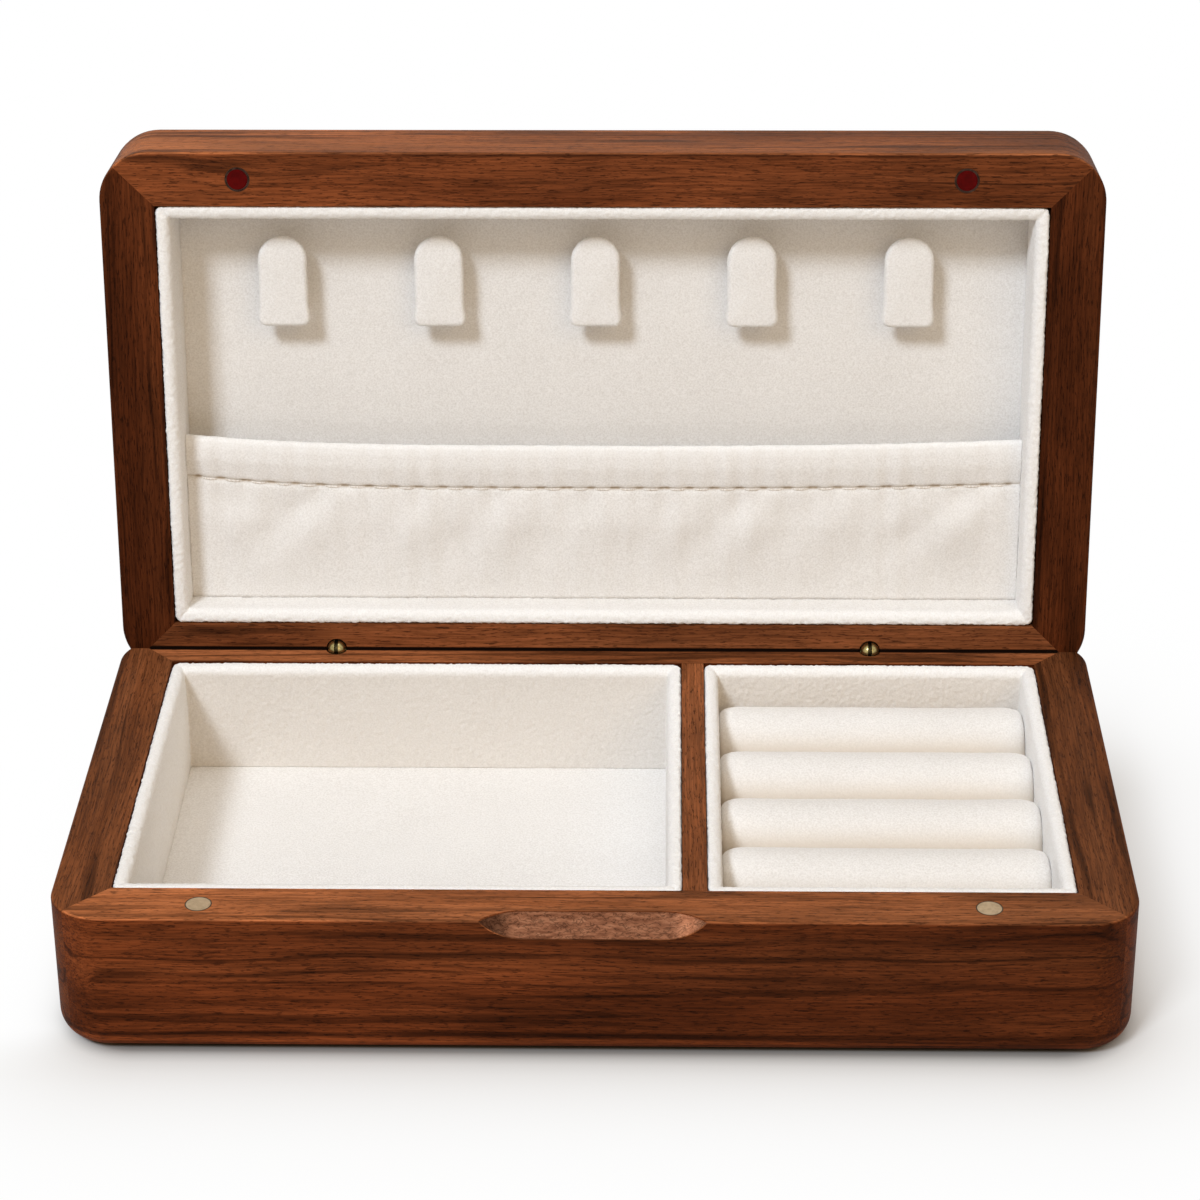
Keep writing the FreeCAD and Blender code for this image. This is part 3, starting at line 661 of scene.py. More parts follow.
        # Painted highlight: faces that lie level, and boards with a pale share, take the paler palette.
        level = graph.remap(graph.dot(graph.facing(), (0, 0, 1)), (0.30, 0.92))
        return graph.mix(graph.math("MAXIMUM", level, board.pale), colours[0], colours[1])

    @staticmethod
    def run_tone(graph: Graph, board: Board, axes: Axes) -> bpy.types.NodeSocket:
        """Slow change of tone from one end of the board to the other.

        Args:
            graph: The material's nodes.
            board: The board to finish.
            axes: Axes of the half of the box that the board is in.

        Returns:
            A grey to multiply the colour by.
        """
        along = graph.dot(graph.place(), (axes.across if board.grain is Grain.WIDTH else axes.along) / MM)
        return graph.grey(graph.remap(along, (-95.0, 95.0), board.run))

    @staticmethod
    def eased_edge(graph: Graph, axes: Axes) -> bpy.types.NodeSocket:
        """1 on the eased edges round a half's open side, with a painted highlight there and paler wood where
        hands rub it, and 0 on flat faces.

        Args:
            graph: The material's nodes.
            axes: Axes of the half of the box that the board is in.

        Returns:
            The share of painted highlight and rubbing.
        """
        slope = graph.dot(graph.facing(), axes.out)
        start = graph.remap(slope, (0.30, 0.60))
        end = graph.remap(slope, (0.80, 0.96), (1.0, 0.0))
        return graph.math("MULTIPLY", start, end)

    def foot_shading(self, graph: Graph, axes: Axes) -> bpy.types.NodeSocket:
        """Painted shade as a fine dark line where a half's outer round starts, and painted bounce light that
        makes the round paler.

        Args:
            graph: The material's nodes.
            axes: Axes of the half of the box that the board is in.

        Returns:
            A grey to multiply the colour by.
        """
        slope = graph.dot(graph.facing(), -axes.out)
        start = graph.remap(slope, (0.07, 0.12), (0.0, self.foot_shade_line))
        line = graph.math("MULTIPLY", start, graph.remap(slope, (0.17, 0.26), (1.0, 0.0)))
        pale = graph.remap(slope, (0.20, 0.40), (1.0, 1 + self.foot_bounce_light))
        return graph.grey(graph.math("SUBTRACT", pale, line))

    def joint_shade_mask(self, graph: Graph, hinge: np.ndarray) -> bpy.types.NodeSocket:
        """1 at the hinge line, where painted shade and dust darken the gap between the two halves, and 0 a
        little way off.

        Args:
            graph: The material's nodes.
            hinge: A place on the hinge line, in metres.

        Returns:
            The mask.
        """
        beside = graph.shift(graph.place(), tuple(-hinge))
        gap = graph.length(graph.stretch(beside, (0.0, 1 / MM, 1 / MM)))
        return graph.remap(gap, (self.joint_width - 0.15, self.joint_width + 0.1), (1.0, 0.0))

    def growth_lines(self, graph: Graph, place: bpy.types.NodeSocket) -> bpy.types.NodeSocket:
        """Long dark lines that fade in and out along the board, from 0 to 1.

        Args:
            graph: The material's nodes.
            place: Place in the plank, in millimetres.

        Returns:
            The strength of the lines.
        """
        rings = graph.noise(self.sized(graph, place, self.line_size), 1.0, 0.4)
        away = graph.math("ABSOLUTE", graph.math("SUBTRACT", rings, 0.5), 0.0)
        line = graph.remap(away, (0.0, 0.07), (1.0, 0.0))
        patch = graph.noise(self.sized(graph, place, self.patch_size), 2.0, 0.5)
        return graph.math("MULTIPLY", line, graph.remap(patch, (0.34, 0.58)))

    def carved_wood(self, graph: Graph) -> bpy.types.NodeSocket:
        """Mottled colour of wood that is cut across its grain, with painted shade at the left end and a
        painted highlight near the right.

        Args:
            graph: The material's nodes.

        Returns:
            The colour.
        """
        place = graph.stretch(graph.place(), (0.30 / MM, 1.3 / MM, 1.3 / MM))
        sway = graph.noise(graph.stretch(graph.place(), (0.7 / MM, 0.7 / MM, 0.7 / MM)), 1.0, 0.5)
        bent = graph.shift(place, graph.add("ShaderNodeCombineXYZ", {"Y": sway, "Z": sway}).outputs[0])
        speckle = graph.noise(bent, 4.0, 0.60)
        colour = graph.ramp(speckle, list(zip(self.carved_stops, self.carved)))
        rings = graph.noise(graph.stretch(bent, (1.3, 0.8, 0.8)), 3.0, 0.6)
        away = graph.math("ABSOLUTE", graph.math("SUBTRACT", rings, 0.5), 0.0)
        lines = graph.grey(graph.remap(away, (0.0, 0.05), (0.50, 1.08)))
        colour = graph.mix(1.0, colour, lines, "MULTIPLY")
        # Painted light by facing: shade where the left end faces right, a highlight where the right end faces
        # left, fading again at its tip.
        turn = graph.dot(graph.facing(), (1, 0, 0))
        dark = graph.remap(turn, (0.10, 0.42), (1.0, 0.38))
        light = graph.remap(turn, (-0.36, -0.14), (1.7, 1.0))
        tip = graph.remap(turn, (-0.60, -0.46), (0.5, 1.0))
        ends = graph.math("MULTIPLY", dark, graph.math("MULTIPLY", light, tip))
        return graph.mix(1.0, colour, graph.grey(ends), "MULTIPLY")

    @staticmethod
    def scoop_mask(graph: Graph, scoop: Scoop) -> bpy.types.NodeSocket:
        """1 inside the carved hollow and 0 outside it.

        Args:
            graph: The material's nodes.
            scoop: Limits of the hollow.

        Returns:
            The mask.
        """
        place = graph.place()
        x, y, z = (graph.dot(place, way) for way in ((1 / MM, 0, 0), (0, 1 / MM, 0), (0, 0, 1 / MM)))
        across = graph.math("ABSOLUTE", x, 0.0)
        mask = graph.remap(across, (scoop.half_width - 0.8, scoop.half_width), (1.0, 0.0))
        mask = graph.math("MULTIPLY", mask, graph.remap(y, (scoop.front, scoop.front + 0.25)))
        mask = graph.math("MULTIPLY", mask, graph.remap(y, (scoop.back - 0.5, scoop.back), (1.0, 0.0)))
        mask = graph.math("MULTIPLY", mask, graph.remap(z, (scoop.foot - 0.5, scoop.foot)))
        return graph.math("MULTIPLY", mask, graph.remap(z, (scoop.top - 0.25, scoop.top), (1.0, 0.0)))

    @staticmethod
    def sized(graph: Graph, place: bpy.types.NodeSocket, sizes: Triple) -> bpy.types.NodeSocket:
        """Place scaled so that features have the given lengths along, across and through the plank."""
        return graph.stretch(place, tuple(1 / size for size in sizes))

    @staticmethod
    def plank_place(graph: Graph, board: Board, axes: Axes) -> bpy.types.NodeSocket:
        """Place in the plank, in millimetres: along the grain, across it and through it.

        Args:
            graph: The material's nodes.
            board: The board to finish.
            axes: Axes of the half of the box that the board is in.

        Returns:
            The place, moved to where the board was cut from.
        """
        along = axes.across if board.grain is Grain.WIDTH else axes.along
        across = axes.along if board.grain is Grain.WIDTH else axes.across
        place = graph.place()
        parts = [graph.dot(place, way / MM) for way in (along, across, axes.out)]
        vector = graph.add("ShaderNodeCombineXYZ", {0: parts[0], 1: parts[1], 2: parts[2]}).outputs[0]
        return graph.shift(vector, (board.cut * 7.3, board.cut * 3.1, board.cut * 5.7))


@dataclass(frozen=True)
class Velvet:
    """Cream plush with a short pile. Lengths are in millimetres."""

    name: str = "cream_velvet"
    root: Colour = (0.720, 0.690, 0.655)
    tip: Colour = (0.890, 0.868, 0.842)
    # Paler copy of root and tip, for the painted highlight.
    highlight_root: Colour = (0.820, 0.798, 0.770)
    highlight_tip: Colour = (0.940, 0.926, 0.906)
    # Colour of the painted shade on roll creases and back walls.
    crease: Colour = (0.680, 0.600, 0.505)
    # Colour of the painted shade in needle holes and along the seam.
    seam: Colour = (0.46, 0.365, 0.265)
    pile_size: float = 0.40
    brush_size: float = 18.0
    pile_height: float = 0.18
    sheen: float = 0.4

    def material(self) -> bpy.types.Material:
        """Make the velvet material.

        Returns:
            A material that reads the painted highlight, the painted shade and the painted seam shade on a
            piece's points.
        """
        graph = Graph(self.name)
        place = graph.stretch(graph.place(), (1 / MM, 1 / MM, 1 / MM))
        pile = graph.noise(place, 3.0, 0.65, 1 / self.pile_size)
        brushed = graph.noise(place, 2.0, 0.5, 1 / self.brush_size)
        tone = graph.math("ADD", graph.math("MULTIPLY", pile, 0.9), graph.math("MULTIPLY", brushed, 0.1))
        colour = graph.ramp(tone, ((0.30, self.root), (0.62, self.tip)))
        pale = graph.ramp(tone, ((0.30, self.highlight_root), (0.62, self.highlight_tip)))
        # Painted highlight, painted shade and painted seam shade, read from each piece's points.
        colour = graph.mix(graph.painted(PAINTED_LIGHT), colour, pale)
        colour = graph.mix(graph.painted(PAINTED_SHADE), colour, (*self.crease, 1.0))
        colour = graph.mix(graph.painted(SEAM_SHADE), colour, (*self.seam, 1.0))
        normal = graph.bump(pile, self.pile_height * MM, 0.5)
        return graph.surface({"Base Color": colour, "Roughness": 1.0, "Specular IOR Level": 0.1,
                              "Sheen Weight": self.sheen, "Sheen Roughness": 0.45,
                              "Sheen Tint": (1.0, 0.98, 0.95, 1.0), "Normal": normal})


@dataclass(frozen=True)
class Thread:
    """Waxed sewing thread."""

    light: Colour = (0.82, 0.78, 0.73)
    dark: Colour = (0.64, 0.57, 0.49)

    def material(self) -> bpy.types.Material:
        """Make the thread material.

        Returns:
            A material with the thread's twist as bands.
        """
        graph = Graph("cream_thread")
        place = graph.stretch(graph.place(), (1 / MM, 1 / MM, 1 / MM))
        twist = graph.noise(graph.stretch(place, (4.0, 1.5, 1.5)), 2.0, 0.5)
        colour = graph.ramp(twist, ((0.35, self.dark), (0.6, self.light)))
        normal = graph.bump(twist, 0.05 * MM, 0.6)
        return graph.surface({"Base Color": colour, "Roughness": 0.8, "Normal": normal})


@dataclass(frozen=True)
class PaintedShadeRing:
    """Painted shade ring round the edge of a pair of discs that stand either side of the middle. Lengths are
    in millimetres.
    """

    x: float
    y: float
    radius: float
    width: float
    colour: Colour

    def mask(self, graph: Graph) -> bpy.types.NodeSocket:
        """1 on the ring at a disc's edge and 0 inside it.

        Args:
            graph: The material's nodes.

        Returns:
            The mask.
        """
        place = graph.place()
        across = graph.math("ABSOLUTE", graph.dot(place, (1 / MM, 0, 0)), 0.0)
        aside = graph.math("SUBTRACT", across, self.x)
        along = graph.dot(graph.shift(place, (0, -self.y * MM, 0)), (0, 1 / MM, 0))
        gap = graph.length(graph.add("ShaderNodeCombineXYZ", {0: aside, 1: along}).outputs[0])
        return graph.remap(gap, (self.radius - 1.4 * self.width, self.radius - 0.6 * self.width))


@dataclass(frozen=True)
class Metal:
    """Plain metal with a faint tarnish and fine scratches. Lengths are in millimetres."""

    name: str
    bright: Colour
    tarnish: Colour
    smooth: float
    worn: float
    spot_size: float = 1.1
    outline: PaintedShadeRing | None = None

    def material(self) -> bpy.types.Material:
        """Make the metal material.

        Returns:
            A material with tarnish, scratches and the painted shade ring, if it has one.
        """
        graph = Graph(self.name)
        place = graph.stretch(graph.place(), (1 / MM, 1 / MM, 1 / MM))
        spots = graph.noise(place, 4.0, 0.6, 1 / self.spot_size)
        scratches = graph.noise(graph.stretch(place, (1.2, 9.0, 9.0)), 2.0, 0.6)
        colour = graph.ramp(spots, ((0.35, self.tarnish), (0.6, self.bright)))
        if self.outline is not None:
            # Painted shade ring at the disc's edge, where it meets its bore.
            colour = graph.mix(self.outline.mask(graph), colour, (*self.outline.colour, 1.0))
        gloss = graph.remap(scratches, (0.3, 0.7), (self.smooth, self.worn))
        normal = graph.bump(scratches, 0.01 * MM, 0.4)
        return graph.surface({"Base Color": colour, "Metallic": 1.0, "Roughness": gloss, "Normal": normal})


@dataclass(frozen=True)
class Enamel:
    """Dark red coating of the lid's magnets."""

    bright: Colour = (0.090, 0.0012, 0.0010)
    deep: Colour = (0.060, 0.0006, 0.0005)

    def material(self) -> bpy.types.Material:
        """Make the red coating.

        Returns:
            A satin material with faint clouds.
        """
        graph = Graph("dark_red_enamel")
        place = graph.stretch(graph.place(), (1 / MM, 1 / MM, 1 / MM))
        clouds = graph.noise(place, 3.0, 0.5, 0.7)
        colour = graph.ramp(clouds, ((0.35, self.deep), (0.65, self.bright)))
        gloss = graph.remap(clouds, (0.3, 0.7), (0.42, 0.55))
        normal = graph.bump(clouds, 0.02 * MM, 0.3)
        return graph.surface({"Base Color": colour, "Roughness": gloss, "Specular IOR Level": 0.05,
                              "Normal": normal})


@dataclass(frozen=True)
class Pearl:
    """Mother-of-pearl cut into short lengths, with a drifting sheen of pink and green."""

    white: Colour = (0.82, 0.80, 0.76)
    pink: Colour = (0.80, 0.62, 0.64)
    green: Colour = (0.58, 0.74, 0.68)

    def material(self) -> bpy.types.Material:
        """Make the mother-of-pearl material.

        Returns:
            A glossy material with drifting colours.
        """
        graph = Graph("mother_of_pearl")
        place = graph.stretch(graph.place(), (1 / MM, 1 / MM, 1 / MM))
        drift = graph.noise(graph.stretch(place, (0.10, 0.22, 0.22)), 4.0, 0.6)
        layers = graph.noise(graph.stretch(graph.shift(place, (31.0, 7.0, 13.0)), (0.3, 0.5, 0.5)), 3.0, 0.6)
        stops = ((0.32, self.pink), (0.48, self.white), (0.56, self.white), (0.70, self.green))
        colour = graph.ramp(drift, stops)
        normal = graph.bump(layers, 0.2 * MM, 0.3)
        gloss = graph.remap(layers, (0.3, 0.7), (0.12, 0.28))
        return graph.surface({"Base Color": colour, "Roughness": gloss, "Coat Weight": 0.4,
                              "Coat Roughness": 0.08, "Sheen Weight": 0.2, "Normal": normal})


def dress(piece: bpy.types.Object, material: bpy.types.Material) -> None:
    """Give a piece one material in place of any it has."""
    piece.data.materials.clear()
    piece.data.materials.append(material)


def settle(piece: bpy.types.Object, body: str, nodes: Sequence[str]) -> None:
    """Let a new piece ride on a body and stand for some nodes.

    Args:
        piece: The new piece.
        body: Name of the body.
        nodes: Names of the nodes that the piece stands for.
    """
    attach(piece, body)
    if nodes:
        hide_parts(*nodes)
    LOG.info("%s rides on %s with %d points", piece.name, body, len(piece.data.vertices))


@dataclass
class WoodenCase:
    """Walnut rails, panels and divider of both halves."""

    finish: Walnut = field(default_factory=Walnut)
    base_boards: tuple[Board, ...] = (
        Board("base_front_rail", Grain.WIDTH, 1.0, 0.93, 1.0, run=(1.29, 0.74),
              scoop=Scoop(half_width=23.6, front=-60.9, back=-54.5, foot=26.0, top=32.4)),
        Board("base_back_rail", Grain.WIDTH, 0.95, 0.95, 11.0, joint=True),
        Board("base_left_rail", Grain.LENGTH, 0.85, 0.62, 21.0),
        Board("base_right_rail", Grain.LENGTH, 0.85, 0.45, 34.0),
        Board("base_bottom_panel", Grain.WIDTH, 0.9, 0.8, 47.0),
        Board("divider", Grain.LENGTH, 0.95, 0.85, 58.0),
    )
    lid_boards: tuple[Board, ...] = (
        # A pale share gives these lid boards part of the painted highlight of the paler palette.
        Board("lid_front_rail", Grain.WIDTH, 1.15, 1.10, 63.0, run=(1.10, 0.72), pale=0.18),
        Board("lid_back_rail", Grain.WIDTH, 1.5, 0.72, 72.0, pale=0.85, joint=True),
        Board("lid_left_rail", Grain.LENGTH, 0.59, 0.66, 88.0),
        Board("lid_right_rail", Grain.LENGTH, 0.60, 0.66, 97.0),
        Board("lid_top_panel", Grain.WIDTH, 1.2, 1.0, 112.0),
    )

    def dress(self, model: Model) -> None:
        """Finish every board with its own grain.

        Args:
            model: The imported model.
        """
        for axes, boards in ((model.base_axes, self.base_boards), (model.lid_axes, self.lid_boards)):
            for board in boards:
                dress(model.nodes[board.node], self.finish.material(board, axes, model.lid_axes.origin))
                LOG.info("%s has walnut grain %s", board.node, board.grain.value)


@dataclass
class Fittings:
    """Hinges, magnets and the mother-of-pearl line."""

    brass: Metal = Metal("aged_brass", (0.42, 0.335, 0.14), (0.20, 0.155, 0.06), 0.22, 0.36)
    # Near-black brass on the upper barrels, painted shade that stands for the dark slot of each hinge.
    slot_shade_brass: Metal = Metal("slot_shade_brass", (0.045, 0.034, 0.014), (0.02, 0.015, 0.007), 0.4, 0.6)
    champagne: Metal = Metal("champagne_nickel", (0.56, 0.42, 0.265), (0.46, 0.34, 0.205), 0.36, 0.54,
                             outline=PaintedShadeRing(x=79.5, y=-55.0, radius=2.7, width=0.22,
                                             colour=(0.09, 0.06, 0.035)))
    steel: Metal = Metal("cup_steel", (0.060, 0.034, 0.024), (0.022, 0.012, 0.008), 0.34, 0.5)
    red: Enamel = field(default_factory=Enamel)
    pearl: Pearl = field(default_factory=Pearl)

    def dress(self, model: Model) -> None:
        """Finish every fitting.

        Args:
            model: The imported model.
        """
        hands = ("left", "right")
        plan = {
            self.brass: ("hinge_lower_barrel", "hinge_pin"),
            self.slot_shade_brass: ("hinge_upper_barrel",),
            self.champagne: ("base_magnet",),
            self.steel: ("lid_magnet_cup",),
            self.red: ("lid_magnet",),
        }
        for finish, stems in plan.items():
            material = finish.material()
            for stem in stems:
                for hand in hands:
                    dress(model.nodes[f"{stem}_{hand}"], material)
                LOG.info("%s has finish %s", stem, material.name)
        nacre = self.pearl.material()
        dress(model.nodes["lid_pearl_border"], nacre)
        LOG.info("lid_pearl_border has finish %s", nacre.name)


@dataclass
class Lining:
    """Velvet-wrapped boards round a compartment, with a soft rolled rim. Sizes are in millimetres."""

    name: str
    body: str
    axes: Axes
    boards: tuple[str, ...]
    velvet: bpy.types.Material
    nap: Nap = Nap(swell=0.08, tuft=0.22, tuft_length=0.62)
    step: float = 0.4
    corner_steps: int = 8
    round_steps: int = 9
    rim_rise: float = 0.3
    outer_round: float = 0.75
    inner_round: float = 1.9
    outer_corner: float = 1.7
    inner_corner: float = 0.3
    belly: float = 0.2
    crease: float = 0.2
    highlight_depth: tuple[float, float] = (2.6, 0.4)
    paint_edge: tuple[float, float] = (0.2, 0.6)
    back_shade: float = 0.0
    side_painted_light: float = 0.0

    def build(self, model: Model) -> bpy.types.Object:
        """Make the lining in place of its boards.

        Args:
            model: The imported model.

        Returns:
            The finished piece.
        """
        low, high = merged(model.limits(self.axes, board) for board in self.boards)
        first_low, first_high = model.limits(self.axes, self.boards[0])
        wall = float(min((first_high - first_low)[:2]))
        section = self.section(wall, low[2], high[2])
        counts = [max(2, round(float(size) / self.step)) for size in (high - low)[:2]]
        rings = np.array([self.ring(low, high, inset, height, wall, counts) for inset, height in section])
        piece = loft(self.name, self.axes, rings, closed=True)
        self.nap.ruffle(piece)
        self.mark(piece, rings, low + wall, high - wall)
        dress(piece, self.velvet)
        settle(piece, self.body, self.boards)
        return piece

    def mark(self, piece: bpy.types.Object, rings: np.ndarray, low: np.ndarray, high: np.ndarray) -> None:
        """Paint a highlight on the rim and on the side walls, and shade on the back wall.

        Args:
            piece: The lining.
            rings: Its loops, before the nap moved them.
            low: Lowest corner of the space inside the boards.
            high: Highest corner of the space inside the boards.
        """
        top = rings[:, :, 2].max()
        near, far = self.paint_edge
        crest = ease(rings[:, :, 2], top - self.highlight_depth[0], top - self.highlight_depth[1])
        back = ease(rings[:, :, 1], high[1] - far, high[1] - near)
        aside = np.abs(rings[:, :, 0] - (high[0] + low[0]) / 2)
        half = (high[0] - low[0]) / 2
        side = 1 - ease(aside, half + near, half + far)
        side *= ease(aside, half - far, half - near)
        # Painted highlight on the rim and the side walls; painted shade on the back wall below the rim.
        paint(piece, PAINTED_LIGHT, np.maximum(crest, self.side_painted_light * side).ravel())
        paint(piece, PAINTED_SHADE, (self.back_shade * back * (1 - crest)).ravel())

    def section(self, wall: float, floor: float, rim: float) -> list[tuple[float, float]]:
        """Inset and height of each ring, up the outside, over the rim and down the inside.

        Args:
            wall: Thickness of the boards.
            floor: Height of their lower edge.
            rim: Height of their upper edge.

        Returns:
            One pair for each ring.
        """
        top = rim + self.rim_rise
        spring = top - self.inner_round
        rows = [(0.0, floor), (0.0, (floor + spring) / 2)]
        quarter = np.linspace(0, math.pi / 2, self.round_steps)
        for angle in quarter:
            drop = self.outer_round * (1 - math.sin(angle))
            rows.append((self.outer_round * (1 - math.cos(angle)), top - drop))
        for angle in reversed(quarter):
            drop = self.inner_round * (1 - math.sin(angle))
            rows.append((wall - self.inner_round * (1 - math.cos(angle)), top - drop))
        drop = spring - floor
        for share in np.linspace(0, 1, max(3, round(drop / self.step)))[1:]:
            rows.append((wall + self.belly * math.sin(math.pi * share), spring - drop * share))
        return rows

    def ring(self, low: np.ndarray, high: np.ndarray, inset: float, height: float, wall: float,
             counts: Sequence[int]) -> np.ndarray:
        """One loop round the compartment, with round corners and a shallow crease where two boards meet.

        Args:
            low: Lowest corner of the boards.
            high: Highest corner of the boards.
            inset: How far the loop is drawn in.
            height: Height of the loop.
            wall: Thickness of the boards.
            counts: Number of steps along the width and along the length.

        Returns:
            The points of the loop.
        """
        share = min(1.0, inset / wall)
        radius = self.outer_corner + (self.inner_corner - self.outer_corner) * share
        x_low, y_low = low[:2] + inset + radius
        x_high, y_high = high[:2] - inset - radius
        centres = ((x_high, y_low), (x_high, y_high), (x_low, y_high), (x_low, y_low))
        runs = (counts[1], counts[0], counts[1], counts[0])
        points: list[tuple[float, float, float]] = []
        for corner, (centre, run) in enumerate(zip(centres, runs)):
            start = (corner - 1) * math.pi / 2
            for step in range(self.corner_steps + 1):
                turn = step / self.corner_steps
                angle = start + turn * math.pi / 2
                dip = self.crease * float(bell(turn - 0.5, 0.18)) * math.sin(math.pi * share)
                x = centre[0] + radius * math.cos(angle)
                y = centre[1] + radius * math.sin(angle)
                points.append((x, y, height - dip))
            here = np.array(points[-1][:2])
            following = centres[(corner + 1) % 4]
            angle = start + math.pi / 2
            there = np.array(following) + radius * np.array((math.cos(angle), math.sin(angle)))
            for part in range(1, run):
                spot = here + (there - here) * part / run
                points.append((float(spot[0]), float(spot[1]), height))
        return np.array(points)


@dataclass
class FloorPad:
    """Padded board at the bottom of a compartment, with a low crown. Sizes are in millimetres."""

    name: str
    body: str
    axes: Axes
    node: str
    velvet: bpy.types.Material
    crown: float = 0.12
    edge: float = 0.8
    step: float = 1.2
    nap: Nap = Nap(swell=0.10, swell_length=26.0)

    def build(self, model: Model) -> bpy.types.Object:
        """Make the pad in place of its node.

        Args:
            model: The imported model.

        Returns:
            The finished piece.
        """
        low, high = model.limits(self.axes, self.node)
        across = np.linspace(low[0], high[0], round(float(high[0] - low[0]) / self.step))
        rings = []
        for y in np.linspace(low[1], high[1], round(float(high[1] - low[1]) / self.step)):
            top = high[2] - self.crown + self.rise(across, low[0], high[0]) * self.rise(y, low[1], high[1])
            upper = np.stack((across, np.full_like(across, y), top), axis=1)
            lower = np.stack((across[::-1], np.full_like(across, y), np.full_like(across, low[2])), axis=1)
            rings.append(np.concatenate((upper, lower)))
        piece = loft(self.name, self.axes, np.array(rings))
        self.nap.ruffle(piece)
        dress(piece, self.velvet)
        settle(piece, self.body, (self.node,))
        return piece

    def rise(self, place: np.ndarray | float, low: float, high: float) -> np.ndarray | float:
        """One of the two factors, for the width and the length, whose product is the rise of the crown.

        Args:
            place: Place along the width or the length.
            low: Where that side starts.
            high: Where that side ends.

        Returns:
            The factor, least at the two ends.
        """
        near = np.minimum(place - low, high - place) - self.edge
        swell = 0.8 * ease(near, -0.6, 1.2) + 0.2 * ease(near, 0.0, 24.0)
        return swell * math.sqrt(2 * self.crown)


